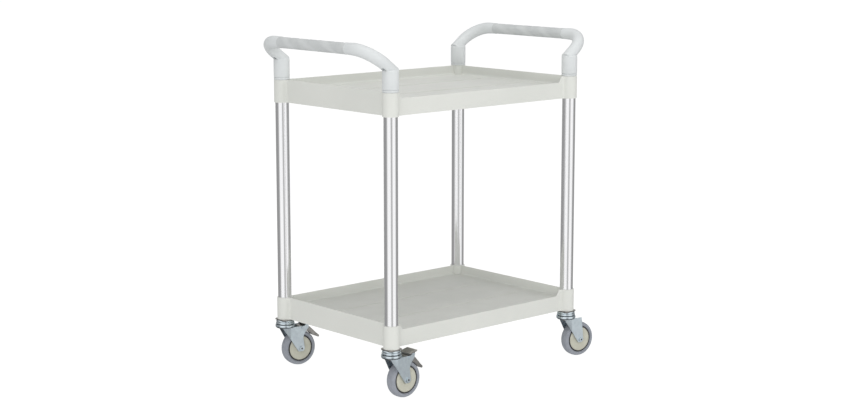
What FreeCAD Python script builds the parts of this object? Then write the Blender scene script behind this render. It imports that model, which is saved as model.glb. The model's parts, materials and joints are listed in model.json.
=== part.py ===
import FreeCAD, Part
import math
import os
import re

import Sketcher

# Serving trolley: two moulded trays on four tubular posts, a hoop handle at each end and
# four swivel casters, of which the two at the left and front left have brakes.
# The origin is on the floor, midway between the posts. +X runs along the tray to the
# right-hand handle, -Y is the long side with the low lip, +Z is up. Sizes are millimetres.

doc = FreeCAD.newDocument("serving_trolley")
sheet = doc.addObject("Spreadsheet::Sheet", "Sizes")

# Each row: name, value, meaning.
SIZES = [
    # Frame
    ("post_spacing_x", 670, "between post axes along the tray"),
    ("post_spacing_y", 462, "between post axes across the tray"),
    ("post_diameter", 38, "outside of the tube"),
    ("post_wall", 1.5, "wall of the tube"),
    ("post_insert", 32.5, "post length inside the handle cup"),
    ("slip_fit", 0.2, "radial gap of the tube in what holds it"),
    ("socket_length", 52, "stem socket in the foot of the post"),
    ("collar_height", 7, "ring between upper tray and handle"),
    # Trays
    ("tray_rise", 617.5, "from the bottom of one tray to the bottom of the other"),
    ("tray_height", 63, "wall and sleeve height"),
    ("tray_wall", 3.5, "wall thickness"),
    ("floor_height", 35.5, "top of the floor above the tray's bottom edge"),
    ("floor_thickness", 3, "floor"),
    ("sleeve_diameter", 44, "outside of the corner sleeves"),
    ("sleeve_blend", 7, "fillet between sleeve and wall"),
    ("shelf_thickness", 8, "closed foot of the lower sleeves"),
    ("lip_drop", 17.5, "how far the front lip is lower than the rim"),
    ("shoulder_inset", 28, "start of the lip's slope from the post axis"),
    ("shoulder_run", 12, "length of the lip's slope"),
    ("rim_round", 1.2, "fillet along the rim"),
    ("rib_thickness", 2.5, "ribs under the floor"),
    ("rib_height", 20, "ribs under the floor"),
    ("ridge_spacing", 164, "between the two ridges on the floor"),
    ("ridge_width", 5, "ridge on the floor"),
    ("ridge_height", 1, "ridge on the floor"),
    ("ridge_inset", 50, "ridge end from the post axis"),
    # Fixing screws, two on the inner diagonal of each post
    ("screw_height", 18, "screw axis above the tray's bottom edge"),
    ("screw_diameter", 5, "thread"),
    ("screw_length", 15, "under the head"),
    ("screw_head_diameter", 9, "head"),
    ("screw_head_height", 3.2, "head"),
    ("screw_socket", 3, "across the flats of the hexagon socket"),
    ("boss_height", 4, "flat seat of the head outside the sleeve"),
    ("boss_diameter", 13, "flat seat of the head outside the sleeve"),
    # Handles
    ("handle_reach", 70, "bar centre beyond the post axis"),
    ("handle_rise", 48, "bar centre above the elbow"),
    ("elbow_rise", 56.5, "elbow above the collar"),
    ("handle_diameter", 31, "bar and arms"),
    ("handle_bend", 62, "corner radius of the hoop"),
    ("cup_diameter", 44.4, "foot of the handle and collar outside"),
    ("cup_round", 5.5, "rounded top edge of the cup"),
    ("elbow_back", 15, "how far the arm runs back over the cup behind its axis"),
    ("spigot_end", 7.5, "end of the spigot above the upper tray's bottom edge"),
    ("spigot_bore", 22, "hollow of the spigot"),
    ("channel_diameter", 16, "finger channel along the underside of the arm"),
    ("channel_offset", 14, "channel axis below the arm axis"),
    ("channel_start", 12, "channel from the elbow along the arm"),
    ("channel_length", 34, "channel"),
    ("grip_length", 284, "sleeve on the bar"),
    ("grip_recess", 1.5, "depth of the bar's recess under the grip"),
    ("grip_swell", 0.3, "how far the grip stands over the bar"),
    ("grip_ridge", 0.5, "end ridge of the grip above its sleeve"),
    ("grip_ridge_width", 6, "end ridge of the grip"),
    # Caster head
    ("wheel_diameter", 100, "over the tread"),
    ("crown_clearance", 14, "tread to the underside of the crown"),
    ("crown_thickness", 3, "crown plate"),
    ("cup_ring_diameter", 56, "upturned rim of the crown"),
    ("cup_ring_wall", 2.5, "upturned rim of the crown"),
    ("cup_ring_height", 7, "upturned rim above the crown plate"),
    ("ball_diameter", 6, "swivel balls"),
    ("ball_circle", 40, "pitch circle of the swivel balls"),
    ("ball_play", 0.15, "free play over and under each ball"),
    ("ball_count", 18, "balls in one swivel head"),
    ("race_diameter", 53, "flange of the upper race"),
    ("race_height", 13.7, "upper race"),
    ("race_step", 1.7, "height of the race's narrow foot"),
    ("race_inset", 2, "how far the narrow foot is inside the flange"),
    ("race_chamfer", 3, "top edge of the upper race"),
    ("plate_side", 44, "square plate under the post"),
    ("plate_thickness", 3, "square plate under the post"),
    ("plate_chamfer", 5, "corner of the square plate"),
    ("stem_diameter", 11.8, "stem in the post's socket"),
    ("stem_length", 50, "stem above the plate"),
    ("stem_chamfer", 1.5, "tip of the stem"),
    ("kingpin_diameter", 12, "rivet through the head"),
    ("kingpin_head_diameter", 20, "rivet head under the crown"),
    ("kingpin_head_height", 6, "rivet head under the crown"),
    ("running_fit", 0.06, "radial gap of a shaft in its bore"),
    ("side_play", 0.4, "end gap between parts that turn on each other"),
    ("press_gap", 0.1, "gap between pieces fixed to each other"),
    # Fork and wheel
    ("trail", 41, "axle behind the swivel axis"),
    ("fork_width", 40, "over the legs"),
    ("fork_sheet", 2.5, "leg thickness"),
    ("axle_diameter", 8, "axle bolt"),
    ("axle_head_diameter", 13, "round head of the axle bolt"),
    ("axle_head_height", 3, "round head of the axle bolt"),
    ("axle_socket", 5, "across the flats of the hexagon socket"),
    ("nut_flats", 13, "across the flats of the axle nut"),
    ("nut_height", 6.5, "axle nut"),
    ("thread_stand_out", 2.5, "bolt end beyond the nut"),
    ("sleeve_wall", 1.9, "wall of the axle sleeve"),
    ("hub_wall", 3.4, "wall of the hub's boss"),
    ("hub_web", 10, "hub disc thickness"),
    ("hub_rim_wall", 5.8, "hub rim"),
    ("hub_rim_width", 25, "hub rim"),
    ("tyre_width", 30, "tyre"),
    ("tyre_depth", 14.1, "tyre section height"),
    ("tyre_shoulder", 9, "round of the tread's edge"),
    ("tyre_bead", 3.5, "step from tyre side to bead"),
    ("tyre_bead_depth", 2.1, "step from tyre side to bead"),
    ("guard_inset", 1.3, "edge of the disc inside the tyre's bore"),
    ("guard_thickness", 2.2, "disc on the wheel's side"),
    ("guard_edge", 1, "disc thickness at its edge"),
    ("guard_bevel", 3.5, "bevel of the disc's edge"),
    # Brake
    ("arm_pin_x", 47, "brake arm pivot behind the swivel axis"),
    ("arm_pin_drop", 4, "brake arm pivot below the crown plate"),
    ("arm_pin_diameter", 6, "brake arm pivot"),
    ("arm_width", 22, "brake arm and its tail"),
    ("shoe_gap", 0.4, "brake shoe to tread when the brake is on"),
    ("hood_pin_x", 62, "release hood pivot behind the swivel axis"),
    ("hood_pin_rise", 3.5, "release hood pivot above the crown's underside"),
    ("hood_pin_diameter", 4, "release hood pivot"),
    ("hood_front", 14, "hood plate in front of its pivot"),
    ("hood_back", 14.5, "hood plate behind its pivot"),
    ("hood_width", 43, "hood plate over the legs"),
    ("hood_corner", 3, "rounded corners of the hood plate"),
    ("hood_lift", 7, "hood top above its pivot when level"),
    ("hood_sheet", 2.2, "hood plate and ears"),
    ("hood_apron", 5, "height of the hood's folded front"),
    ("hood_ear_width", 31, "over the ears"),
    ("pin_head", 1.6, "height of a pivot pin's head"),
    ("pin_head_overhang", 1.2, "how far the head stands over the pin"),
    ("overrun", 2, "how far a cutting shape runs past the surface it cuts"),
]
for row, (alias, size, meaning) in enumerate(SIZES, start=1):
    sheet.set(f"A{row}", alias)
    sheet.set(f"B{row}", str(size))
    sheet.set(f"C{row}", meaning)
    sheet.setAlias(f"B{row}", alias)
doc.recompute()

# Heights and places worked out from the sheet.
AXLE_Z = "(wheel_diameter / 2)"
CROWN_Z = "(wheel_diameter + crown_clearance)"
CROWN_TOP = f"({CROWN_Z} + crown_thickness)"
RACE_Z = f"({CROWN_TOP} + ball_diameter + 2 * ball_play)"
PLATE_Z = f"({RACE_Z} + race_height)"
LOWER_Z = f"({PLATE_Z} + plate_thickness)"
UPPER_Z = f"({LOWER_Z} + tray_rise)"
COLLAR_Z = f"({UPPER_Z} + tray_height)"
CUP_Z = f"({COLLAR_Z} + collar_height)"
POST_Z = f"({LOWER_Z} + shelf_thickness)"
POST_TOP = f"({CUP_Z} + post_insert)"
ELBOW_Z = f"({CUP_Z} + elbow_rise)"
BORE = "(post_diameter / 2 + slip_fit)"
TUBE_BORE = "(post_diameter / 2 - post_wall)"
SOCKET_BORE = "(stem_diameter / 2 + press_gap)"
GAP = "(fork_width - 2 * fork_sheet)"
BUSH = "(axle_diameter / 2 + press_gap + sleeve_wall)"
HUB_RIM = "(wheel_diameter / 2 - tyre_depth - press_gap)"
ARM_PIN_Z = f"({CROWN_Z} - arm_pin_drop)"
HOOD_PIN_Z = f"({CROWN_Z} + hood_pin_rise)"

# Corners: signs of X and Y, and the direction of the inner diagonal in degrees.
CORNERS = {
    "front_left": (-1, -1, 45),
    "front_right": (1, -1, 135),
    "back_right": (1, 1, 225),
    "back_left": (-1, 1, 315),
}
# How each caster stands in the photograph: its swivel angle in degrees.
SWIVEL = {"front_left": 0, "front_right": -9, "back_right": -9, "back_left": -9}
# Casters with a brake: tilts of the arm and of the hood in degrees, first the one that is on.
BRAKES = {"front_left": (0, -12), "back_left": (-3, 4)}

# Fork leg outlines: X in shares of the trail, Z in shares of the crown's height and
# corner radius in shares of the trail.
PLAIN_LEG_SHARES = [
    (-0.42, 1.013, 0), (0.78, 0.36, 0.17), (1.25, 0.36, 0.22), (1.05, 1.013, 0),
]
BRAKE_LEG_SHARES = [
    (-0.42, 1.013, 0), (0.78, 0.36, 0.17), (1.29, 0.36, 0.22), (1.15, 0.72, 0.25),
    (1.28, 0.83, 0.20), (1.58, 0.95, 0.15), (1.61, 1.06, 0.10), (1.40, 1.06, 0.08),
    (1.26, 1.009, 0.08), (0.60, 1.009, 0),
]
# Brake arm outline about its pivot, all in shares of the trail.
ARM_SHARES = [
    (-0.17, 0.14, 0.12), (0.33, 0.12, 0.2), (0.66, -0.10, 0.25), (1.02, -0.50, 0.3),
    (1.40, -0.86, 0.05), (1.33, -0.98, 0.05), (0.96, -0.79, 0.1), (0.80, -0.78, 0),
    (0.32, -0.38, 0), (0.20, -0.20, 0.1), (-0.17, -0.15, 0.12),
]
# Ears of the hood about its pivot, in shares of its lift.
EAR_SHARES = [(-1.7, 0.8, 0), (1.7, 0.8, 0), (0.65, -0.6, 0.5), (-0.65, -0.6, 0.5)]
RIB_ROW_SHARES = [-1 / 6, 1 / 6]
RIB_COLUMN_SHARES = [-3 / 8, -1 / 4, -1 / 8, 0, 1 / 8, 1 / 4, 3 / 8]

NAMES = {alias for alias, size, meaning in SIZES}
WORD = re.compile(r"[A-Za-z_]+")


def cells(text):
    """An expression in which each size name points to its cell."""
    return WORD.sub(lambda m: f"Sizes.{m.group()}" if m.group() in NAMES else m.group(), str(text))


def value(text):
    """The present number of an expression."""
    return float(sheet.evalExpression(cells(text)))


def bind(thing, field, text):
    thing.setExpression(field, cells(text))


# Sub-parts
PARTS = []


def new_part(label, x="0", y="0", z="0", yaw="0", pitch="0"):
    """A body with its place and its turn about Z and then Y, bound to the sheet."""
    body = doc.addObject("PartDesign::Body", "Body_" + label)
    body.Label = label
    body.AllowCompound = True
    bind(body, "Placement", f"placement(vector({x}; {y}; {z}); rotation({yaw}; {pitch}; 0))")
    PARTS.append(body)
    return body


def new_sketch(body, name, plane, offset="0", turn=None, base=None):
    """A sketch on one of the body's planes, moved along its normal."""
    sketch = body.newObject("Sketcher::SketchObject", f"{body.Name}_{name}")
    support = [item for item in body.Origin.OriginFeatures if item.Role == plane]
    sketch.AttachmentSupport = [(support[0], "")]
    sketch.MapMode = "FlatFace"
    if turn is None:
        bind(sketch, "AttachmentOffset.Base.z", offset)
    else:
        place = f"placement(vector({'; '.join(base)}); rotation({'; '.join(turn)}))"
        bind(sketch, "AttachmentOffset", place)
    return sketch


def pin_down(sketch, geometry, point, x, y):
    """Dimensions from the sketch's origin to one point."""
    for kind, text in (("DistanceX", x), ("DistanceY", y)):
        item = sketch.addConstraint(Sketcher.Constraint(kind, -1, 1, geometry, point, value(text)))
        bind(sketch, f"Constraints[{item}]", text)


def unit(dx, dy):
    length = math.hypot(dx, dy)
    return dx / length, dy / length


def outline(sketch, corners, closed=True):
    """Straight sides between corners (x, y) or (x, y, radius); a radius rounds the corner."""
    spots = [(value(c[0]), value(c[1])) for c in corners]
    radii = [value(c[2]) if len(c) > 2 else 0 for c in corners]
    count = len(corners)
    cuts = []
    for i, (px, py) in enumerate(spots):
        if radii[i] == 0:
            cuts.append(((px, py), (px, py), None))
            continue
        back = unit(spots[i - 1][0] - px, spots[i - 1][1] - py)
        ahead = unit(spots[(i + 1) % count][0] - px, spots[(i + 1) % count][1] - py)
        half = math.acos(back[0] * ahead[0] + back[1] * ahead[1]) / 2
        reach = radii[i] / math.tan(half)
        toward = unit(back[0] + ahead[0], back[1] + ahead[1])
        depth = radii[i] / math.sin(half)
        centre = (px + toward[0] * depth, py + toward[1] * depth)
        enter = (px + back[0] * reach, py + back[1] * reach)
        leave = (px + ahead[0] * reach, py + ahead[1] * reach)
        cuts.append((enter, leave, centre))
    sides = count if closed else count - 1
    lines = []
    for i in range(sides):
        start = FreeCAD.Vector(*cuts[i][1], 0)
        end = FreeCAD.Vector(*cuts[(i + 1) % count][0], 0)
        lines.append(sketch.addGeometry(Part.LineSegment(start, end), False))
    for i in range(count):
        before = lines[i - 1] if closed or i > 0 else None
        after = lines[i] if i < sides else None
        x, y = corners[i][0], corners[i][1]
        if radii[i] == 0:
            if after is None:
                pin_down(sketch, before, 2, x, y)
                continue
            pin_down(sketch, after, 1, x, y)
            if before is not None:
                sketch.addConstraint(Sketcher.Constraint("Coincident", before, 2, after, 1))
            continue
        enter, leave, centre = cuts[i]
        first = math.atan2(enter[1] - centre[1], enter[0] - centre[0])
        last = math.atan2(leave[1] - centre[1], leave[0] - centre[0])
        counter = (last - first) % (2 * math.pi) < math.pi
        span = (first, last) if counter else (last, first)
        circle = Part.Circle(FreeCAD.Vector(*centre, 0), FreeCAD.Vector(0, 0, 1), radii[i])
        arc = sketch.addGeometry(Part.ArcOfCircle(circle, *span), False)
        near, far = (1, 2) if counter else (2, 1)
        mark = sketch.addGeometry(Part.Point(FreeCAD.Vector(*spots[i], 0)), True)
        pin_down(sketch, mark, 1, x, y)
        sketch.addConstraint(Sketcher.Constraint("PointOnObject", mark, 1, before))
        sketch.addConstraint(Sketcher.Constraint("PointOnObject", mark, 1, after))
        sketch.addConstraint(Sketcher.Constraint("Tangent", before, 2, arc, near))
        sketch.addConstraint(Sketcher.Constraint("Tangent", arc, far, after, 1))
        item = sketch.addConstraint(Sketcher.Constraint("Radius", arc, radii[i]))
        bind(sketch, f"Constraints[{item}]", corners[i][2])


def rectangle(sketch, left, low, right, high):
    outline(sketch, [(left, low), (right, low), (right, high), (left, high)])


def circle(sketch, x, y, radius):
    centre = FreeCAD.Vector(value(x), value(y), 0)
    ring = Part.Circle(centre, FreeCAD.Vector(0, 0, 1), value(radius))
    item = sketch.addGeometry(ring, False)
    pin_down(sketch, item, 3, x, y)
    size = sketch.addConstraint(Sketcher.Constraint("Radius", item, value(radius)))
    bind(sketch, f"Constraints[{size}]", radius)


def hexagon(sketch, flats):
    """Six sides about the sketch's origin, by the distance across the flats."""
    corners = []
    for i in range(6):
        corners.append((f"{flats} / sqrt(3) * cos({60 * i})", f"{flats} / sqrt(3) * sin({60 * i})"))
    outline(sketch, corners)


def pad(body, sketch, length, symmetric=False, reverse=False):
    feature = body.newObject("PartDesign::Pad", sketch.Name + "_pad")
    feature.Profile = sketch
    feature.SideType = "Symmetric" if symmetric else "One side"
    feature.Reversed = reverse
    bind(feature, "Length", length)
    return feature


def pocket(body, sketch, depth=None, symmetric=False, reverse=False):
    feature = body.newObject("PartDesign::Pocket", sketch.Name + "_pocket")
    feature.Profile = sketch
    feature.SideType = "Symmetric" if symmetric else "One side"
    feature.Reversed = reverse
    if depth is None:
        feature.Type = "ThroughAll"
    else:
        bind(feature, "Length", depth)
    return feature


def revolve(body, sketch, axis="V_Axis", cut=False):
    kind = "PartDesign::Groove" if cut else "PartDesign::Revolution"
    feature = body.newObject(kind, sketch.Name + "_turned")
    feature.Profile = sketch
    feature.ReferenceAxis = (sketch, [axis])
    feature.Angle = 360
    return feature


def cylinder(body, name, radius, height, x, y, z, yaw="0", pitch="0", cut=True):
    """A cylinder from (x, y, z) along Z turned by pitch about Y and then by yaw about Z."""
    kind = "PartDesign::SubtractiveCylinder" if cut else "PartDesign::AdditiveCylinder"
    feature = body.newObject(kind, f"{body.Name}_{name}")
    bind(feature, "Radius", radius)
    bind(feature, "Height", height)
    bind(feature, "Placement", f"placement(vector({x}; {y}; {z}); rotation({yaw}; {pitch}; 0))")
    return feature


def add_fillet(body, name, edges, radius):
    """A fillet on the named edges of the body as it stands."""
    base = body.Tip
    feature = body.newObject("PartDesign::Fillet", f"{body.Name}_{name}")
    feature.Base = (base, edges)
    bind(feature, "Radius", radius)


def shares(table, x_size, y_size, radius_size):
    """Outline corners from a table of shares."""
    corners = []
    for x, y, radius in table:
        corner = (f"{x} * {x_size}", f"{y} * {y_size}")
        corners.append(corner + (f"{radius} * {radius_size}",) if radius else corner)
    return corners


def along(x, y, radius, yaw):
    """The point at a radius from (x, y) in the direction yaw."""
    return f"{x} + {radius} * cos({yaw})", f"{y} + {radius} * sin({yaw})"


def corner_axis(corner):
    sx, sy, yaw = CORNERS[corner]
    return f"{sx} * post_spacing_x / 2", f"{sy} * post_spacing_y / 2"


def make_tray(label, z, is_lower):
    """Rectangular tray with a sleeve at each corner, hollow and ribbed below its floor."""
    body = new_part(label, z=z)
    half_x, half_y = "post_spacing_x / 2", "post_spacing_y / 2"
    inner_x, inner_y = f"({half_x} - tray_wall)", f"({half_y} - tray_wall)"
    under = "(floor_height - floor_thickness)"
    block = new_sketch(body, "block", "XY_Plane")
    rectangle(block, f"-{half_x}", f"-{half_y}", half_x, half_y)
    pad(body, block, "tray_height")
    well = new_sketch(body, "well", "XY_Plane", "tray_height")
    rectangle(well, f"-{inner_x}", f"-{inner_y}", inner_x, inner_y)
    pocket(body, well, "tray_height - floor_height")
    hollow = new_sketch(body, "hollow", "XY_Plane")
    rectangle(hollow, f"-{inner_x}", f"-{inner_y}", inner_x, inner_y)
    pocket(body, hollow, under, reverse=True)
    rows = new_sketch(body, "rows", "XY_Plane", f"{under} - rib_height")
    for row_share in RIB_ROW_SHARES:
        middle = f"{row_share} * post_spacing_y"
        side = "rib_thickness / 2"
        rectangle(rows, f"-{inner_x}", f"{middle} - {side}", inner_x, f"{middle} + {side}")
    pad(body, rows, "rib_height")
    columns = new_sketch(body, "columns", "XY_Plane", f"{under} - rib_height")
    for column_share in RIB_COLUMN_SHARES:
        middle = f"{column_share} * post_spacing_x"
        side = "rib_thickness / 2"
        rectangle(columns, f"{middle} - {side}", f"-{inner_y}", f"{middle} + {side}", inner_y)
    pad(body, columns, "rib_height")
    sleeves = new_sketch(body, "sleeves", "XY_Plane")
    for corner in CORNERS:
        circle(sleeves, *corner_axis(corner), "sleeve_diameter / 2")
    pad(body, sleeves, "tray_height")
    blend(body)
    for corner, (sx, sy, yaw) in CORNERS.items():
        base = along(*corner_axis(corner), BORE, yaw)
        height = f"sleeve_diameter / 2 + boss_height - {BORE}"
        cylinder(body, f"{corner}_boss", "boss_diameter / 2", height, *base, "screw_height",
                 yaw, "90", cut=False)
    bores = new_sketch(body, "bores", "XY_Plane", "tray_height")
    for corner in CORNERS:
        circle(bores, *corner_axis(corner), BORE)
    pocket(body, bores, "tray_height - shelf_thickness" if is_lower else None)
    if is_lower:
        stems = new_sketch(body, "stems", "XY_Plane", "tray_height")
        for corner in CORNERS:
            circle(stems, *corner_axis(corner), "stem_diameter / 2 + slip_fit")
        pocket(body, stems)
    for corner, (sx, sy, yaw) in CORNERS.items():
        cylinder(body, f"{corner}_hole", "screw_diameter / 2 + press_gap", "sleeve_diameter",
                 *corner_axis(corner), "screw_height", yaw, "90")
    ridges = new_sketch(body, "ridges", "XY_Plane", "floor_height")
    for sy in (-1, 1):
        reach = f"({half_x} - ridge_inset)"
        middle = f"{sy} * ridge_spacing / 2"
        rectangle(ridges, f"-{reach}", f"{middle} - ridge_width / 2", reach, f"{middle} + ridge_width / 2")
    pad(body, ridges, "ridge_height")
    lip = new_sketch(body, "lip", "XZ_Plane", f"{half_y} + overrun")
    low, high = "tray_height - lip_drop", "tray_height + overrun"
    wide, narrow = f"({half_x} - shoulder_inset)", f"({half_x} - shoulder_inset - shoulder_run)"
    spill = f"({wide} + overrun * shoulder_run / lip_drop)"
    outline(lip, [(f"-{narrow}", low), (narrow, low), (spill, high), (f"-{spill}", high)])
    pocket(body, lip, "tray_wall + 2 * overrun")
    doc.recompute()
    round_rim(body)
    return body


def blend(body):
    """Fillets on the upright edges where a sleeve meets the outside of a wall."""
    doc.recompute()
    shape = body.Tip.Shape
    half_x, half_y = value("post_spacing_x") / 2, value("post_spacing_y") / 2
    radius = value("sleeve_diameter") / 2
    edges = []
    for number, edge in enumerate(shape.Edges, start=1):
        if len(edge.Vertexes) != 2:
            continue
        ends = [v.Point for v in edge.Vertexes]
        upright = math.hypot(ends[0].x - ends[1].x, ends[0].y - ends[1].y) < 1e-6
        side = math.isclose(abs(ends[0].x), half_x, abs_tol=1e-4)
        side = side and math.isclose(abs(ends[0].y), half_y - radius, abs_tol=1e-4)
        long = math.isclose(abs(ends[0].y), half_y, abs_tol=1e-4)
        long = long and math.isclose(abs(ends[0].x), half_x - radius, abs_tol=1e-4)
        if upright and (side or long):
            edges.append(f"Edge{number}")
    add_fillet(body, "blend", edges, "sleeve_blend")


def round_rim(body):
    """Fillets along the edges of the rim and of the low lip."""
    shape = body.Tip.Shape
    top = value("tray_height")
    low = top - value("lip_drop")
    front = -value("post_spacing_y") / 2
    edges = []
    for number, edge in enumerate(shape.Edges, start=1):
        box = edge.BoundBox
        on_rim = box.ZMin > top - 1e-4
        on_lip = box.ZMin > low - 1e-4 and box.YMax < front + value("tray_wall") + 1e-4
        on_lip = on_lip and box.YLength < 1e-4
        bore = isinstance(edge.Curve, Part.Circle) and edge.isClosed()
        if (on_rim or on_lip) and not bore and not (on_rim and box.YLength < value("tray_wall") + 1e-4
                                                   and box.XLength < 1e-4):
            edges.append(f"Edge{number}")
    add_fillet(body, "rim", edges, "rim_round")


def make_post(corner):
    """Tube from the shelf of the lower sleeve to the inside of the handle's cup."""
    yaw = CORNERS[corner][2]
    body = new_part(f"post_{corner}", *corner_axis(corner), POST_Z, yaw)
    tube = new_sketch(body, "tube", "XY_Plane")
    circle(tube, "0", "0", "post_diameter / 2")
    circle(tube, "0", "0", TUBE_BORE)
    pad(body, tube, f"{POST_TOP} - {POST_Z}")
    for name, tray in (("low", LOWER_Z), ("high", UPPER_Z)):
        cylinder(body, name + "_hole", "screw_diameter / 2 + press_gap", "post_diameter",
                 "0", "0", f"{tray} + screw_height - {POST_Z}", "0", "90")
    return body


def make_stem_sockets():
    """Plug in the foot of each post, bored for the caster's stem."""
    body = new_part("stem_sockets", z=POST_Z)
    plugs = new_sketch(body, "plugs", "XY_Plane")
    for corner in CORNERS:
        circle(plugs, *corner_axis(corner), f"{TUBE_BORE} - press_gap")
        circle(plugs, *corner_axis(corner), SOCKET_BORE)
    pad(body, plugs, "socket_length")
    for corner, (sx, sy, yaw) in CORNERS.items():
        cylinder(body, f"{corner}_hole", "screw_diameter / 2 + press_gap", "post_diameter / 2",
                 *corner_axis(corner), f"{LOWER_Z} + screw_height - {POST_Z}", yaw, "90")
    return body


def make_collars():
    """Ring round each post between the upper tray and the handle."""
    body = new_part("post_collars", z=COLLAR_Z)
    rings = new_sketch(body, "rings", "XY_Plane")
    for corner in CORNERS:
        circle(rings, *corner_axis(corner), "cup_diameter / 2")
        circle(rings, *corner_axis(corner), BORE)
    pad(body, rings, "collar_height")
    return body


def make_tray_screws():
    """Two socket screws at each corner, through sleeve, post and what fills the post."""
    body = new_part("tray_screws")
    seat = "(sleeve_diameter / 2 + boss_height)"
    for corner, (sx, sy, yaw) in CORNERS.items():
        axis = corner_axis(corner)
        for level, tray in (("low", LOWER_Z), ("high", UPPER_Z)):
            name = f"{corner}_{level}"
            height = f"{tray} + screw_height"
            cylinder(body, name + "_shank", "screw_diameter / 2", "screw_length",
                     *along(*axis, f"({seat} - screw_length)", yaw), height, yaw, "90", cut=False)
            cylinder(body, name + "_head", "screw_head_diameter / 2", "screw_head_height",
                     *along(*axis, seat, yaw), height, yaw, "90", cut=False)
            socket = body.newObject("PartDesign::SubtractivePrism", f"{body.Name}_{name}_socket")
            socket.Polygon = 6
            bind(socket, "Circumradius", "screw_socket / sqrt(3)")
            bind(socket, "Height", "screw_head_height")
            x, y = along(*axis, f"({seat} + screw_head_height / 3)", yaw)
            bind(socket, "Placement", f"placement(vector({x}; {y}; {height}); rotation({yaw}; 90; 0))")
    return body


def make_handle(side, yaw):
    """Hoop over two posts: a cup and spigot on each post, rising arms and a cross bar."""
    direction = "1" if yaw == 0 else "-1"
    body = new_part(f"handle_{side}", x=f"{direction} * post_spacing_x / 2", yaw=yaw)
    half = "(post_spacing_y / 2)"
    tube = "(handle_diameter / 2)"
    lean = "atan(handle_reach / handle_rise)"
    arm = "(sqrt(handle_reach ^ 2 + handle_rise ^ 2))"
    spine = new_sketch(body, "spine", "YZ_Plane", turn=("0", "0", lean), base=("0", ELBOW_Z, "0"))
    outline(spine, [(f"-{half}", "0"), (f"-{half}", arm, "handle_bend"),
                    (half, arm, "handle_bend"), (half, "0")], closed=False)
    section = new_sketch(body, "section", "XY_Plane", turn=("0", lean, "0"),
                         base=("0", f"-{half}", ELBOW_Z))
    circle(section, "0", "0", tube)
    pipe = body.newObject("PartDesign::AdditivePipe", body.Name + "_hoop")
    pipe.Profile = section
    pipe.Spine = (spine, [])
    spigot = f"({TUBE_BORE} - slip_fit)"
    end = f"({UPPER_Z} + spigot_end)"
    for name, sign in (("front", 1), ("back", -1)):
        cup = new_sketch(body, name + "_cup", "XZ_Plane", f"{sign} * {half}")
        outline(cup, [
            ("spigot_bore / 2", end), (spigot, end), (spigot, POST_TOP), (BORE, POST_TOP),
            (BORE, CUP_Z), ("cup_diameter / 2", CUP_Z), ("cup_diameter / 2", ELBOW_Z, "cup_round"),
            ("0", ELBOW_Z), ("0", POST_TOP), ("spigot_bore / 2", POST_TOP),
        ])
        revolve(body, cup)
        cylinder(body, name + "_elbow", tube, f"elbow_back + {arm} - handle_bend",
                 f"-elbow_back * sin({lean})", f"{-sign} * {half}",
                 f"{ELBOW_Z} - elbow_back * cos({lean})", "0", lean, cut=False)
    for name, sign in (("front", -1), ("back", 1)):
        x = f"channel_start * sin({lean}) + channel_offset * cos({lean})"
        z = f"{ELBOW_Z} + channel_start * cos({lean}) - channel_offset * sin({lean})"
        cylinder(body, name + "_channel", "channel_diameter / 2", "channel_length",
                 x, f"{sign} * {half}", z, "0", lean)
        cylinder(body, name + "_hole", "screw_diameter / 2", "post_diameter",
                 "0", f"{sign} * {half}", f"{UPPER_Z} + screw_height", 180 + 45 * sign, "90")
    recess = new_sketch(body, "recess", "YZ_Plane", turn=("0", "0", "0"),
                        base=("0", f"{ELBOW_Z} + handle_rise", "handle_reach"))
    rectangle(recess, "-grip_length / 2", f"{tube} - grip_recess", "grip_length / 2", f"{tube} + overrun")
    revolve(body, recess, "H_Axis", cut=True)
    return body


def make_grip(side, yaw):
    """Sleeve in the recess of the bar, with a ridge at each end."""
    direction = "1" if yaw == 0 else "-1"
    body = new_part(f"grip_{side}", x=f"{direction} * (post_spacing_x / 2 + handle_reach)",
                    z=f"{ELBOW_Z} + handle_rise", yaw=yaw)
    inner = "(handle_diameter / 2 - grip_recess + press_gap)"
    outer = "(handle_diameter / 2 + grip_swell)"
    end = "(grip_length / 2 - press_gap)"
    ridge = f"({outer} + grip_ridge)"
    shoulder = f"({end} - grip_ridge_width)"
    sleeve = new_sketch(body, "sleeve", "XY_Plane")
    outline(sleeve, [
        (inner, f"-{end}"), (ridge, f"-{end}"), (ridge, f"-{shoulder}"),
        (outer, f"-{shoulder} + grip_ridge"), (outer, f"{shoulder} - grip_ridge"),
        (ridge, shoulder), (ridge, end), (inner, end),
    ])
    revolve(body, sleeve)
    return body


def caster_place(corner, forward="0", z="0", pitch="0"):
    """Place of a caster's piece: a distance behind the swivel axis, and a height."""
    x, y = corner_axis(corner)
    swivel = SWIVEL[corner]
    x, y = along(x, y, forward, swivel)
    return {"x": x, "y": y, "z": z, "yaw": str(swivel), "pitch": pitch}


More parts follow.
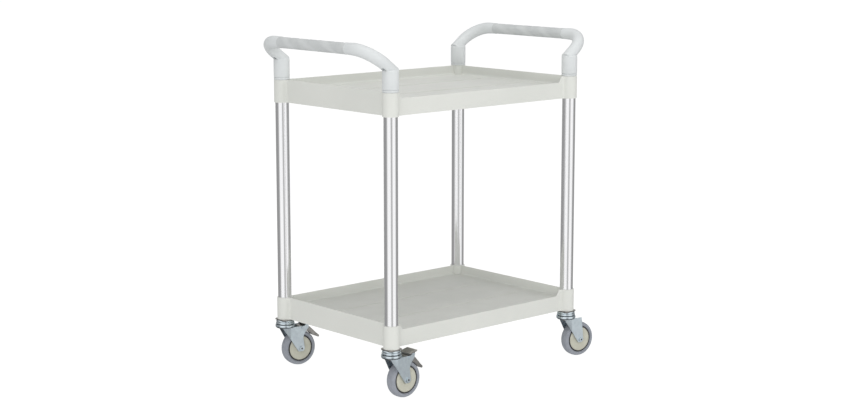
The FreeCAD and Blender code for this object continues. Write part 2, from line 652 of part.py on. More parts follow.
def make_stem(corner):
    """Square plate with the stem above it and the kingpin and its head below."""
    x, y = corner_axis(corner)
    body = new_part(f"{corner}_caster_stem", x, y, PLATE_Z)
    plate = new_sketch(body, "plate", "XY_Plane")
    side, short = "(plate_side / 2)", "(plate_side / 2 - plate_chamfer)"
    outline(plate, [(f"-{short}", f"-{side}"), (short, f"-{side}"), (side, f"-{short}"), (side, short),
                    (short, side), (f"-{short}", side), (f"-{side}", short), (f"-{side}", f"-{short}")])
    pad(body, plate, "plate_thickness")
    turned = new_sketch(body, "turned", "XZ_Plane")
    top = "(plate_thickness + stem_length)"
    foot = f"({CROWN_Z} - side_play - {PLATE_Z})"
    tip = "(stem_diameter / 2 - stem_chamfer)"
    edge = "kingpin_head_height / 4"
    outline(turned, [
        ("0", f"{foot} - kingpin_head_height"),
        (f"kingpin_head_diameter / 2 - {edge}", f"{foot} - kingpin_head_height"),
        ("kingpin_head_diameter / 2", f"{foot} - kingpin_head_height + {edge}"),
        ("kingpin_head_diameter / 2", foot), ("kingpin_diameter / 2", foot),
        ("kingpin_diameter / 2", "plate_thickness / 2"), ("stem_diameter / 2", "plate_thickness / 2"),
        ("stem_diameter / 2", f"{top} - stem_chamfer"), (tip, top), ("0", top),
    ])
    revolve(body, turned)
    return body


def make_race(corner):
    """Upper race, fixed under the plate."""
    x, y = corner_axis(corner)
    body = new_part(f"{corner}_upper_race", x, y, RACE_Z)
    ring = new_sketch(body, "ring", "XZ_Plane")
    hole, rim = "(kingpin_diameter / 2 + press_gap)", "race_diameter / 2"
    foot = "race_diameter / 2 - race_inset"
    outline(ring, [
        (hole, "0"), (foot, "0"), (foot, "race_step"), (rim, "race_step"),
        (rim, "race_height - race_chamfer"), (f"{rim} - race_chamfer", "race_height"),
        (hole, "race_height"),
    ])
    revolve(body, ring)
    return body


def make_balls(corner):
    """Ring of balls between the crown and the upper race."""
    place = caster_place(corner, z=f"{CROWN_TOP} + ball_play + ball_diameter / 2")
    body = new_part(f"{corner}_swivel_balls", **place)
    half_disc = new_sketch(body, "half_disc", "XZ_Plane", turn=("0", "0", "0"),
                           base=("ball_circle / 2", "0", "0"))
    radius = value("ball_diameter / 2")
    upright = FreeCAD.Vector(0, 0, 1)
    shape = Part.Circle(FreeCAD.Vector(0, 0, 0), upright, radius)
    arc = half_disc.addGeometry(Part.ArcOfCircle(shape, -math.pi / 2, math.pi / 2), False)
    chord = Part.LineSegment(FreeCAD.Vector(0, radius, 0), FreeCAD.Vector(0, -radius, 0))
    line = half_disc.addGeometry(chord, False)
    half_disc.addConstraint(Sketcher.Constraint("Coincident", arc, 3, -1, 1))
    half_disc.addConstraint(Sketcher.Constraint("Coincident", arc, 2, line, 1))
    half_disc.addConstraint(Sketcher.Constraint("Coincident", arc, 1, line, 2))
    half_disc.addConstraint(Sketcher.Constraint("PointOnObject", arc, 1, -2))
    half_disc.addConstraint(Sketcher.Constraint("PointOnObject", arc, 2, -2))
    size = half_disc.addConstraint(Sketcher.Constraint("Radius", arc, radius))
    bind(half_disc, f"Constraints[{size}]", "ball_diameter / 2")
    ball = revolve(body, half_disc)
    ring = body.newObject("PartDesign::PolarPattern", body.Name + "_ring")
    ring.Originals = [ball]
    axis = [item for item in body.Origin.OriginFeatures if item.Role == "Z_Axis"]
    ring.Axis = (axis[0], [""])
    ring.Angle = 360
    bind(ring, "Occurrences", "ball_count")
    body.Tip = ring
    return body


def make_fork(corner):
    """Crown plate with its upturned rim, and two legs down to the axle."""
    braked = corner in BRAKES
    body = new_part(f"{corner}_fork", **caster_place(corner))
    crown = new_sketch(body, "crown", "XZ_Plane")
    hole, rim = "(kingpin_diameter / 2 + running_fit)", "(cup_ring_diameter / 2)"
    bowl = f"({rim} - cup_ring_wall)"
    lip = f"({CROWN_TOP} + cup_ring_height)"
    outline(crown, [
        (hole, CROWN_Z), (rim, CROWN_Z, "cup_ring_wall"), (rim, lip), (bowl, lip),
        (bowl, CROWN_TOP), (hole, CROWN_TOP),
    ])
    revolve(body, crown)
    legs = new_sketch(body, "legs", "XZ_Plane")
    leg_shares = BRAKE_LEG_SHARES if braked else PLAIN_LEG_SHARES
    outline(legs, shares(leg_shares, "trail", CROWN_Z, "trail"))
    pad(body, legs, "fork_width", symmetric=True)
    gap = new_sketch(body, "gap", "XZ_Plane")
    far = "(2 * trail + overrun)"
    step = f"({rim} + overrun / 4)"
    outline(gap, [("-trail", "0"), (far, "0"), (far, lip), (step, lip), (step, CROWN_Z),
                  ("-trail", CROWN_Z)])
    pocket(body, gap, GAP, symmetric=True)
    eye = new_sketch(body, "eye", "XY_Plane", lip)
    circle(eye, "0", "0", hole)
    pocket(body, eye, f"{lip} - {CROWN_Z} + overrun")
    holes = new_sketch(body, "holes", "XZ_Plane")
    circle(holes, "trail", AXLE_Z, "axle_diameter / 2 + press_gap")
    if braked:
        circle(holes, "arm_pin_x", ARM_PIN_Z, "arm_pin_diameter / 2 + press_gap")
        circle(holes, "hood_pin_x", HOOD_PIN_Z, "hood_pin_diameter / 2 + press_gap")
    pocket(body, holes, "2 * fork_width", symmetric=True)
    return body


def make_axle(corner):
    """Axle bolt with a round socket head on the near leg, its nut, and the sleeve between."""
    place = caster_place(corner, "trail", AXLE_Z)
    leg = "(fork_width / 2)"
    bolt = new_part(f"{corner}_axle_bolt", **place)
    head = new_sketch(bolt, "head", "XZ_Plane", leg)
    circle(head, "0", "0", "axle_head_diameter / 2")
    pad(bolt, head, "axle_head_height")
    shank = new_sketch(bolt, "shank", "XZ_Plane", leg)
    circle(shank, "0", "0", "axle_diameter / 2")
    pad(bolt, shank, "fork_width + nut_height + thread_stand_out", reverse=True)
    socket = new_sketch(bolt, "socket", "XZ_Plane", f"{leg} + axle_head_height")
    hexagon(socket, "axle_socket")
    pocket(bolt, socket, "axle_head_height")
    nut = new_part(f"{corner}_axle_nut", **place)
    flats = new_sketch(nut, "flats", "XZ_Plane", f"-{leg}")
    hexagon(flats, "nut_flats")
    circle(flats, "0", "0", "axle_diameter / 2 + running_fit")
    pad(nut, flats, "nut_height", reverse=True)
    sleeve = new_part(f"{corner}_axle_sleeve", **place)
    ring = new_sketch(sleeve, "ring", "XZ_Plane")
    circle(ring, "0", "0", BUSH)
    circle(ring, "0", "0", "axle_diameter / 2 + press_gap")
    pad(sleeve, ring, f"{GAP} - 2 * press_gap", symmetric=True)


def make_wheel(corner):
    """Hub that turns on the axle sleeve, its tyre and the disc on each side."""
    place = caster_place(corner, "trail", AXLE_Z)
    bore = f"({BUSH} + running_fit)"
    boss = f"({bore} + hub_wall)"
    end = f"({GAP} / 2 - side_play)"
    well = f"({HUB_RIM} - hub_rim_wall)"
    web, edge = "(hub_web / 2)", "(hub_rim_width / 2)"
    hub = new_part(f"{corner}_wheel_hub", **place)
    section = new_sketch(hub, "section", "XY_Plane")
    outline(section, [
        (bore, f"-{end}"), (boss, f"-{end}"), (boss, f"-{web}"), (well, f"-{web}"),
        (well, f"-{edge}"), (HUB_RIM, f"-{edge}"), (HUB_RIM, edge), (well, edge),
        (well, web), (boss, web), (boss, end), (bore, end),
    ])
    revolve(hub, section)
    tyre = new_part(f"{corner}_tyre", **place)
    inner, tread = f"({HUB_RIM} + press_gap)", "(wheel_diameter / 2)"
    bead, side = "(tyre_width / 2 - tyre_bead)", "(tyre_width / 2)"
    groove = f"({inner} + tyre_bead_depth)"
    flank = f"({groove} + tyre_bead / 2)"
    section = new_sketch(tyre, "section", "XY_Plane")
    outline(section, [
        (inner, f"-{bead}"), (groove, f"-{bead}"), (flank, f"-{side}"),
        (tread, f"-{side}", "tyre_shoulder"), (tread, side, "tyre_shoulder"),
        (flank, side), (groove, bead), (inner, bead),
    ])
    revolve(tyre, section)
    guards = new_part(f"{corner}_thread_guards", **place)
    section = new_sketch(guards, "section", "XY_Plane")
    near, far = f"({edge} + press_gap)", f"({edge} + press_gap + guard_thickness)"
    hole, rim = f"({boss} + press_gap)", f"({HUB_RIM} - guard_inset)"
    for sign in (-1, 1):
        outline(section, [
            (hole, f"{sign} * {near}"), (rim, f"{sign} * {near}"),
            (rim, f"{sign} * ({near} + guard_edge)"),
            (f"{rim} - guard_bevel", f"{sign} * {far}"), (hole, f"{sign} * {far}"),
        ])
    revolve(guards, section)


def make_brake(corner):
    """Brake arm with tail and shoe, the hood that releases it, and their two pins."""
    arm_tilt, hood_tilt = BRAKES[corner]
    arm = new_part(f"{corner}_brake_arm",
                   **caster_place(corner, "arm_pin_x", ARM_PIN_Z, str(arm_tilt)))
    lever = new_sketch(arm, "lever", "XZ_Plane")
    outline(lever, shares(ARM_SHARES, "trail", "trail", "trail"))
    pad(arm, lever, "arm_width", symmetric=True)
    tread = new_sketch(arm, "tread", "XZ_Plane")
    circle(tread, "trail - arm_pin_x", f"{AXLE_Z} - {ARM_PIN_Z}", "wheel_diameter / 2 + shoe_gap")
    pocket(arm, tread, "2 * arm_width", symmetric=True)
    bore = new_sketch(arm, "bore", "XZ_Plane")
    circle(bore, "0", "0", "arm_pin_diameter / 2 + running_fit")
    pocket(arm, bore, "2 * arm_width", symmetric=True)

    hood = new_part(f"{corner}_brake_hood",
                    **caster_place(corner, "hood_pin_x", HOOD_PIN_Z, str(hood_tilt)))
    ears = new_sketch(hood, "ears", "XZ_Plane")
    outline(ears, shares(EAR_SHARES, "hood_lift", "hood_lift", "hood_lift"))
    pad(hood, ears, "hood_ear_width", symmetric=True)
    inside = new_sketch(hood, "inside", "XZ_Plane")
    under = "hood_lift - hood_sheet"
    rectangle(inside, "-2 * hood_front", "-2 * hood_front", "2 * hood_front", under)
    pocket(hood, inside, "hood_ear_width - 2 * hood_sheet", symmetric=True)
    side = "(hood_width / 2)"
    top = new_sketch(hood, "top", "XY_Plane", under)
    outline(top, [("-hood_front", f"-{side}"), ("hood_back", f"-{side}", "hood_corner"),
                  ("hood_back", side, "hood_corner"), ("-hood_front", side)])
    pad(hood, top, "hood_sheet")
    apron = new_sketch(hood, "apron", "YZ_Plane", "-hood_front")
    outline(apron, [(f"-{side}", "hood_lift - hood_apron", "hood_corner / 2"),
                    (side, "hood_lift - hood_apron", "hood_corner / 2"),
                    (side, "hood_lift"), (f"-{side}", "hood_lift")])
    pad(hood, apron, "hood_sheet")
    bore = new_sketch(hood, "bore", "XZ_Plane")
    circle(bore, "0", "0", "hood_pin_diameter / 2 + running_fit")
    pocket(hood, bore, "2 * hood_width", symmetric=True)

    pins = new_part(f"{corner}_brake_pins", **caster_place(corner))
    for x, z, size in (("arm_pin_x", ARM_PIN_Z, "arm_pin_diameter"),
                       ("hood_pin_x", HOOD_PIN_Z, "hood_pin_diameter")):
        name = size.split("_")[0]
        shank = new_sketch(pins, name + "_shank", "XZ_Plane")
        circle(shank, x, z, f"{size} / 2")
        pad(pins, shank, "fork_width + pin_head", symmetric=True)
        for end, sign in (("near", 1), ("far", -1)):
            head = new_sketch(pins, f"{name}_{end}_head", "XZ_Plane", f"{sign} * fork_width / 2")
            circle(head, x, z, f"{size} / 2 + pin_head_overhang")
            pad(pins, head, "pin_head", reverse=sign < 0)


make_tray("lower_tray", LOWER_Z, True)
make_tray("upper_tray", UPPER_Z, False)
for corner_name in CORNERS:
    make_post(corner_name)
make_stem_sockets()
make_collars()
make_tray_screws()
for side_name, turn_angle in (("right", 0), ("left", 180)):
    make_handle(side_name, turn_angle)
    make_grip(side_name, turn_angle)
for corner_name in CORNERS:
    make_stem(corner_name)
    make_race(corner_name)
    make_balls(corner_name)
    make_fork(corner_name)
    make_axle(corner_name)
    make_wheel(corner_name)
for corner_name in BRAKES:
    make_brake(corner_name)
doc.recompute()

# Every object has to be sound before anything is written.
for item in doc.Objects:
    if "Invalid" in item.State or "Error" in item.State:
        raise RuntimeError(f"{item.Name} ({item.Label}) failed: {item.getStatusString()}")
for part in PARTS:
    if part.Shape.isNull() or not part.Shape.isValid():
        raise RuntimeError(f"{part.Label} has no valid shape")
os.makedirs("parts", exist_ok=True)
for part in PARTS:
    part.Shape.exportStep(f"parts/{part.Label}.step")
    box = part.Shape.BoundBox
    print(f"{part.Label}: {len(part.Shape.Solids)} solids, {part.Shape.Volume:.0f} mm3,"
          f" z {box.ZMin:.1f} to {box.ZMax:.1f}")
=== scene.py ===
# %% [markdown]
# A serving trolley: two moulded trays on four bright tubes, a hoop handle at each end and four
# swivel casters, two of them with brakes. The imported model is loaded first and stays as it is:
# every new piece, lamp and camera below takes its place from it. Everything is in metres, with
# the floor at Z = 0 and the long side with the low lip facing -Y.

# %% Load the frame
import json
import math

import bpy
from mathutils import Matrix, Vector


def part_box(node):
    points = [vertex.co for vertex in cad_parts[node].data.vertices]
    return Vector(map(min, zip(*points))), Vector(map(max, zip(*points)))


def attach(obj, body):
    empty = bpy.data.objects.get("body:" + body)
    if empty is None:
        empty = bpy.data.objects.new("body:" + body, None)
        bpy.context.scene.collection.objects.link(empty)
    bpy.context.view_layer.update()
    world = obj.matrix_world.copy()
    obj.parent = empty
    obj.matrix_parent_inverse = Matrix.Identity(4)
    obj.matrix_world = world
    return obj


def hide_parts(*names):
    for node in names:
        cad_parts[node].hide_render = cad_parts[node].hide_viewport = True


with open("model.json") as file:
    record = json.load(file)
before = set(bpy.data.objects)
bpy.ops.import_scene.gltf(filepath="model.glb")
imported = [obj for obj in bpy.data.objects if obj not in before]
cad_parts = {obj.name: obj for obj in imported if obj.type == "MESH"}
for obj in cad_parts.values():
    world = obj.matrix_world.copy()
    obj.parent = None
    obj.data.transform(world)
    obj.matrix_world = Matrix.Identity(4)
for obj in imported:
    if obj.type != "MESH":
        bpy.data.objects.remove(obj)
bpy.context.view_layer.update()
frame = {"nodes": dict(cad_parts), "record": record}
nodes = frame["nodes"]

# %% [markdown]
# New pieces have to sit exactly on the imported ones, so their places are measured from the frame
# and not typed again: the axes of the posts, the feet of the trays, the ring between tray and
# handle, and the axle of the one caster that stands square. POSTS holds the feet of the posts'
# axes in metres. All other sizes, here and further down, are in millimetres, and MM turns them
# into metres where Blender gets them.

# %% Places from the frame
MM = 0.001


def middle(node):
    """The centre of a node's box, to a tenth of a millimetre."""
    low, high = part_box(node)
    return Vector([round((a + b) / 2, 4) for a, b in zip(low, high)])


POSTS = {}
for corner in ("front_left", "front_right", "back_right", "back_left"):
    axis = middle("post_" + corner)
    POSTS[corner] = Vector((axis.x, axis.y, 0))
POST_X, POST_Y = [round(number / MM, 1) for number in POSTS["back_right"].xy]
COLLAR_FOOT, COLLAR_TOP = [round(corner.z / MM, 1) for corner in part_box("post_collars")]
TRAY_FEET = {tray: round(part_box(tray)[0].z / MM, 1) for tray in ("upper_tray", "lower_tray")}
first_wheel = middle("front_left_tyre") - POSTS["front_left"]
TRAIL, AXLE = round(first_wheel.x / MM, 1), round(first_wheel.z / MM, 1)
print("posts:", POST_X, POST_Y, "collars:", COLLAR_FOOT, COLLAR_TOP, "trays:", TRAY_FEET,
      "axle behind and above:", TRAIL, AXLE)

# %% [markdown]
# The camera is found from measured points: the ends of the sleeves, the axes of the tubes, the
# wheels on the floor. It stands five metres away, 42 degrees round from the long side, and looks
# down by ten degrees. A long lens keeps the uprights almost parallel, as in the picture.

# %% Camera
camera_lens = bpy.data.cameras.new("camera")
camera_lens.lens = 73.10
camera_lens.sensor_width = 36
camera = bpy.data.objects.new("camera", camera_lens)
camera.location = (-3.25284, -3.61060, 1.29422)
camera.rotation_euler = (math.radians(80.228), 0, math.radians(-42.015))
bpy.context.scene.collection.objects.link(camera)
bpy.context.scene.camera = camera
bpy.context.scene.view_settings.view_transform = "Standard"
print("camera:", [round(number, 2) for number in camera.location])

# %% [markdown]
# Shaders are graphs of nodes. Most of the code that makes them only adds a node and joins two
# sockets, so a few small helpers do that, and every graph below then reads as a list of steps.
# A Mix node has sockets of its own for each kind of data, which share their names, so the ones
# that are used here are found by number.

# %% Helpers for node graphs
MIX_FACTOR = 0
MIX_SOCKETS = {"FLOAT": (2, 3, 0), "RGBA": (6, 7, 2)}


def add_node(tree, kind, settings=None, **values):
    """A node with its settings, and the values of the inputs that are named."""
    node = tree.nodes.new("ShaderNode" + kind)
    for field, choice in (settings or {}).items():
        setattr(node, field, choice)
    for socket, number in values.items():
        node.inputs[socket.replace("_", " ")].default_value = number
    return node


def join(tree, source, target):
    """Feeds an input from an output socket, or writes a plain value into it."""
    if isinstance(source, bpy.types.NodeSocket):
        tree.links.new(source, target)
    else:
        target.default_value = source


def calculate(tree, operation, *items):
    """A Math node on one or two sockets or plain numbers; gives its output socket."""
    node = add_node(tree, "Math", {"operation": operation})
    for item, target in zip(items, node.inputs):
        join(tree, item, target)
    return node.outputs[0]


def span(tree, socket, low, high, start=0.0, end=1.0):
    """Map Range from low..high to start..end, without going past either end."""
    node = add_node(tree, "MapRange", {"clamp": True},
                    From_Min=low, From_Max=high, To_Min=start, To_Max=end)
    join(tree, socket, node.inputs["Value"])
    return node.outputs["Result"]


def mix(tree, kind, mask, first, second):
    """What lies between two values or colours, as far along as the mask says."""
    node = add_node(tree, "Mix", {"data_type": kind})
    first_input, second_input, result = MIX_SOCKETS[kind]
    join(tree, mask, node.inputs[MIX_FACTOR])
    join(tree, first, node.inputs[first_input])
    join(tree, second, node.inputs[second_input])
    return node.outputs[result]


def seen_directly(tree):
    """One for rays that come from the camera or through glass, and zero for all others."""
    rays = add_node(tree, "LightPath")
    return calculate(tree, "MAXIMUM", rays.outputs["Is Camera Ray"],
                     rays.outputs["Is Transmission Ray"])


# %% [markdown]
# The studio is white all round, and long dark flags stand beside the trolley: they are what puts
# dark edges on a polished tube. Painting them in the world, by compass direction, keeps them out
# of the picture. Light Path sorts the rays: the camera and glass see the white studio at strength
# 1, mirrors see the flags, and the light that falls on the trolley is plain. It is stronger from
# the horizon than from above, because the walls of the trays are lit more than their floors.

# %% World
STUDIO_BANDS = (
    # compass direction in turns from +X, and how bright the studio is there
    (0.00, 0.30), (0.045, 0.30), (0.065, 0.6), (0.205, 0.6), (0.225, 0.30), (0.435, 0.33),
    (0.50, 1.0), (0.625, 1.0), (0.645, 0.48), (0.695, 0.48), (0.725, 1.0), (0.835, 1.0),
    (0.885, 0.33), (1.0, 0.30),
)
DAYLIGHT_LOW, DAYLIGHT_HIGH = 0.95, 0.31
FLAG_TOP, CEILING = 0.45, 0.75
FLOOR_AHEAD, FLOOR_BELOW, FLOOR_SHADE = -0.32, -0.55, 0.25

studio = bpy.data.worlds.new("studio")
bpy.context.scene.world = studio
studio.use_nodes = True
sky = studio.node_tree
sky.nodes.clear()
way = add_node(sky, "SeparateXYZ")
join(sky, add_node(sky, "TexCoord").outputs["Generated"], way.inputs[0])
compass = calculate(sky, "ARCTAN2", way.outputs["Y"], way.outputs["X"])
height = way.outputs["Z"]
bands = add_node(sky, "FloatCurve")
join(sky, calculate(sky, "FRACT", calculate(sky, "DIVIDE", compass, 2 * math.pi)),
     bands.inputs["Value"])
curve = bands.mapping.curves[0]
for number, (direction, brightness) in enumerate(STUDIO_BANDS):
    # A new curve has its first two points already.
    if number < 2:
        curve.points[number].location = (direction, brightness)
    else:
        curve.points.new(direction, brightness)
for point in curve.points:
    point.handle_type = "VECTOR"
bands.mapping.update()
around = mix(sky, "FLOAT", span(sky, height, FLAG_TOP, CEILING), bands.outputs[0], 1.0)
mirrored = calculate(sky, "MULTIPLY", around,
                     span(sky, height, FLOOR_BELOW, FLOOR_AHEAD, FLOOR_SHADE, 1.0))
daylight = span(sky, height, 0, 1, DAYLIGHT_LOW, DAYLIGHT_HIGH)
glossy = add_node(sky, "LightPath").outputs["Is Glossy Ray"]
strength = mix(sky, "FLOAT", seen_directly(sky), mix(sky, "FLOAT", glossy, daylight, mirrored), 1.0)
backdrop = add_node(sky, "Background", Color=(1, 1, 1, 1))
join(sky, strength, backdrop.inputs["Strength"])
join(sky, backdrop.outputs[0], add_node(sky, "OutputWorld").inputs["Surface"])
print("studio bands:", len(STUDIO_BANDS))

# %% [markdown]
# Three soft boxes give the trolley its shape. One stands to the right of the camera and makes the
# long side the brighter one. One lies low in front of the camera, under the upper tray's rim, so
# that it fills in the outer walls and the lower tray and leaves the upper tray's inside alone.
# The last hangs above and lights the floors. Area lamps are used because their size sets how soft
# the shade is. They are hidden from mirror rays, so the tubes show no lamp's outline.


# %% Lamps
def soft_box(name, azimuth, height, distance, size, power, aim=(0, 0, 0.5)):
    """An area lamp in a compass direction from the trolley, turned to look at the aim."""
    lamp = bpy.data.lights.new(name, "AREA")
    lamp.shape = "RECTANGLE"
    lamp.size, lamp.size_y = size
    lamp.energy = power
    stand = bpy.data.objects.new(name, lamp)
    heading = math.radians(azimuth)
    stand.location = (distance * math.cos(heading), distance * math.sin(heading), height)
    away = stand.location - Vector(aim)
    stand.rotation_euler = away.to_track_quat("Z", "Y").to_euler()
    stand.visible_camera = False
    stand.visible_glossy = False
    bpy.context.scene.collection.objects.link(stand)


soft_box("box_right", azimuth=285, height=2.2, distance=3.6, size=(2.4, 2.4), power=19)
soft_box("box_front", azimuth=222, height=0.4, distance=4.2, size=(2.4, 0.8), power=33)
soft_box("box_top", azimuth=230, height=4.2, distance=0.8, size=(3.0, 3.0), power=48,
         aim=(0, 0, 0.8))

# %% [markdown]
# The floor is a large pale sheet. It has to stay as white as the background and still hold the
# soft shadow under the wheels. So it is part paint, which takes light and shadow, and part glow,
# which fills it up to white. Mirror rays pass it by and see the studio.

# %% Floor
FLOOR_SIZE = 60
FLOOR_GREY = 0.22
FLOOR_GLOW, FLOOR_GLOW_SEEN = 0.62, 0.92

bpy.ops.object.select_all(action="DESELECT")
bpy.ops.mesh.primitive_plane_add(size=FLOOR_SIZE, location=(0, 0, 0))
studio_floor = bpy.context.object
studio_floor.name = "studio_floor"
studio_floor.visible_glossy = False
floor_paint = bpy.data.materials.new("floor_paint")
floor_paint.use_nodes = True
tree = floor_paint.node_tree
tree.nodes.clear()
paint = add_node(tree, "BsdfDiffuse", Color=(FLOOR_GREY, FLOOR_GREY, FLOOR_GREY, 1))
glow = add_node(tree, "Emission", Color=(1, 1, 1, 1))
join(tree, span(tree, seen_directly(tree), 0, 1, FLOOR_GLOW, FLOOR_GLOW_SEEN),
     glow.inputs["Strength"])
both = add_node(tree, "AddShader")
join(tree, paint.outputs[0], both.inputs[0])
join(tree, glow.outputs[0], both.inputs[1])
join(tree, both.outputs[0], add_node(tree, "OutputMaterial").inputs["Surface"])
studio_floor.data.materials.append(floor_paint)
print("floor:", list(studio_floor.dimensions.xy))

# %% [markdown]
# Effects that several finishes share are made once, as node groups with named inputs and
# outputs. A group here gives only values, such as a height for a bump or a mask between two
# colours. The shader itself stays in each material, where its plain numbers can be read. Sizes
# are given in metres, and the texture helper turns a size into the scale that a texture asks for.


# %% Helpers for shared effects
def new_effect(name, inputs, outputs):
    """An empty node group: its tree, the sockets of its input node and those of its output node."""
    group = bpy.data.node_groups.new(name, "ShaderNodeTree")
    position = group.interface.new_socket("Position", in_out="INPUT", socket_type="NodeSocketVector")
    for label, number in inputs.items():
        socket = group.interface.new_socket(label, in_out="INPUT", socket_type="NodeSocketFloat")
        socket.default_value = number
    for label in outputs:
        group.interface.new_socket(label, in_out="OUTPUT", socket_type="NodeSocketFloat")
    print("effect:", name, [position.name, *inputs], "to", outputs)
    return group, group.nodes.new("NodeGroupInput").outputs, group.nodes.new("NodeGroupOutput").inputs


def use_effect(tree, group, position, **values):
    """The outputs of a shared effect placed in a material, reading the given position socket."""
    node = tree.nodes.new("ShaderNodeGroup")
    node.node_tree = group
    join(tree, position, node.inputs["Position"])
    for socket, number in values.items():
        node.inputs[socket.replace("_", " ")].default_value = number
    return node.outputs


def texture(tree, kind, position, size, **values):
    """A texture whose features have the given size in metres; gives its output sockets."""
    node = add_node(tree, kind, **values)
    join(tree, position, node.inputs["Vector"])
    join(tree, calculate(tree, "DIVIDE", 1.0, size), node.inputs["Scale"])
    return node.outputs


# %% [markdown]
# Moulded plastic is never quite even. The mould's surface is eroded by sparks, which leaves a
# grain of about half a millimetre, and the flow of the plastic leaves faint clouds in its shade.

# %% Effect: moulded grain
moulded_grain, given, result = new_effect(
    "moulded_grain", {"Grain Size": 0.0006, "Cloud Size": 0.12}, ["Height", "Clouds"])
pits = texture(moulded_grain, "TexNoise", given["Position"], given["Grain Size"],
               Detail=3.0, Roughness=0.6)
join(moulded_grain, pits[0], result["Height"])
clouds = texture(moulded_grain, "TexNoise", given["Position"], given["Cloud Size"], Detail=2.0)
join(moulded_grain, span(moulded_grain, clouds[0], 0.3, 0.7), result["Clouds"])

# %% [markdown]
# Use leaves fine scratches on the shelf floors and on the handles. Each family of scratches is a
# noise that is stretched along one direction and cut off so that only its thin crests remain.
# Three families that cross look random without any picture of scratches.

# %% Effect: fine scratches
SCRATCH_FAMILIES = ((0.5, 16.0), (-0.9, 22.0), (2.2, 12.0))
CREST_WIDTH = 0.012

fine_scratches, given, result = new_effect(
    "fine_scratches", {"Spacing": 0.03, "Amount": 0.5}, ["Mask"])
strongest = 0.0
for heading, stretch in SCRATCH_FAMILIES:
    aim = add_node(fine_scratches, "Mapping", Rotation=(0.2 * heading, 0.1, heading),
                   Scale=(1.0, stretch, stretch))
    join(fine_scratches, given["Position"], aim.inputs["Vector"])
    streak = texture(fine_scratches, "TexNoise", aim.outputs[0], given["Spacing"],
                     Detail=1.0, Distortion=0.2)
    off_middle = calculate(fine_scratches, "SUBTRACT", streak[0], 0.5)
    crest = span(fine_scratches, calculate(fine_scratches, "ABSOLUTE", off_middle),
                 0.0, CREST_WIDTH, 1.0, 0.0)
    strongest = calculate(fine_scratches, "MAXIMUM", strongest, crest)
join(fine_scratches, calculate(fine_scratches, "MULTIPLY", strongest, given["Amount"]),
     result["Mask"])

# %% [markdown]
# Dust settles on what faces up and stays where the surface is a little uneven. The normal's
# upward part gives the first, and a patchy noise the second.

# %% Effect: settled dust
settled_dust, given, result = new_effect(
    "settled_dust", {"Patch Size": 0.08, "Amount": 0.3}, ["Mask"])
upward = add_node(settled_dust, "SeparateXYZ")
join(settled_dust, add_node(settled_dust, "NewGeometry").outputs["Normal"], upward.inputs[0])
patches = texture(settled_dust, "TexNoise", given["Position"], given["Patch Size"],
                  Detail=6.0, Roughness=0.65)
lying = calculate(settled_dust, "MULTIPLY", span(settled_dust, upward.outputs["Z"], 0.3, 1.0),
                  span(settled_dust, patches[0], 0.42, 0.68))
join(settled_dust, calculate(settled_dust, "MULTIPLY", lying, given["Amount"]), result["Mask"])

# %% [markdown]
# Drawn tube carries fine lines along the way it was pulled. A noise squeezed across that way
# gives them: a stretch of one along the tube against some hundreds across it.

# %% Effect: drawn lines
drawn_lines, given, result = new_effect(
    "drawn_lines", {"Line Width": 0.0004, "Line Length": 0.2}, ["Height", "Streaks"])
split = add_node(drawn_lines, "SeparateXYZ")
join(drawn_lines, given["Position"], split.inputs[0])
squeezed = add_node(drawn_lines, "CombineXYZ")
for axis, size in (("X", "Line Width"), ("Y", "Line Width"), ("Z", "Line Length")):
    join(drawn_lines, calculate(drawn_lines, "DIVIDE", split.outputs[axis], given[size]),
         squeezed.inputs[axis])
hair = texture(drawn_lines, "TexNoise", squeezed.outputs[0], 1.0, Detail=2.0)
join(drawn_lines, hair[0], result["Height"])
join(drawn_lines, span(drawn_lines, hair[0], 0.35, 0.65), result["Streaks"])

# %% [markdown]
# A zinc coat is bluish and slightly cloudy, with flecks a few millimetres wide that each turn the
# light another way. Voronoi cells give the flecks, and a soft noise four times as coarse the clouds.

# %% Effect: zinc flecks
zinc_flecks, given, result = new_effect("zinc_flecks", {"Fleck Size": 0.003}, ["Flecks", "Clouds"])
cells = texture(zinc_flecks, "TexVoronoi", given["Position"], given["Fleck Size"])
join(zinc_flecks, cells["Color"], result["Flecks"])
coarse = calculate(zinc_flecks, "MULTIPLY", given["Fleck Size"], 4.0)
bloom = texture(zinc_flecks, "TexNoise", given["Position"], coarse, Detail=4.0)
join(zinc_flecks, span(zinc_flecks, bloom[0], 0.3, 0.7), result["Clouds"])

# %% [markdown]
# Every finish starts from the same few steps: a Principled BSDF, object coordinates for the
# patterns, a mix between two close tones, and a bump. The helpers make these, and each finish
# below then adds only what is its own.


# %% Helpers for finishes
def new_finish(name, roughness, metallic=0.0, **shader_values):
    """A material with its shader and output; gives its tree, shader and object coordinates."""
    finish = bpy.data.materials.new(name + "_finish")
    finish.use_nodes = True
    tree = finish.node_tree
    shader = tree.nodes["Principled BSDF"]
    values = {"Roughness": roughness, "Metallic": metallic, **shader_values}
    for socket, number in values.items():
        shader.inputs[socket.replace("_", " ")].default_value = number
    print("finish:", name)
    return finish, tree, shader, add_node(tree, "TexCoord").outputs["Object"]


def tone(tree, mask, first, second, share=1.0):
    """A colour between two tones, chosen by a mask at a share of its strength."""
    if share != 1.0:
        mask = calculate(tree, "MULTIPLY", mask, share)
    colours = [(*colour, 1) if isinstance(colour, tuple) else colour for colour in (first, second)]
    return mix(tree, "RGBA", mask, *colours)


def vary_roughness(tree, shader, mask, low, high):
    """A roughness between two values, chosen by a mask."""
    join(tree, span(tree, mask, 0, 1, low, high), shader.inputs["Roughness"])


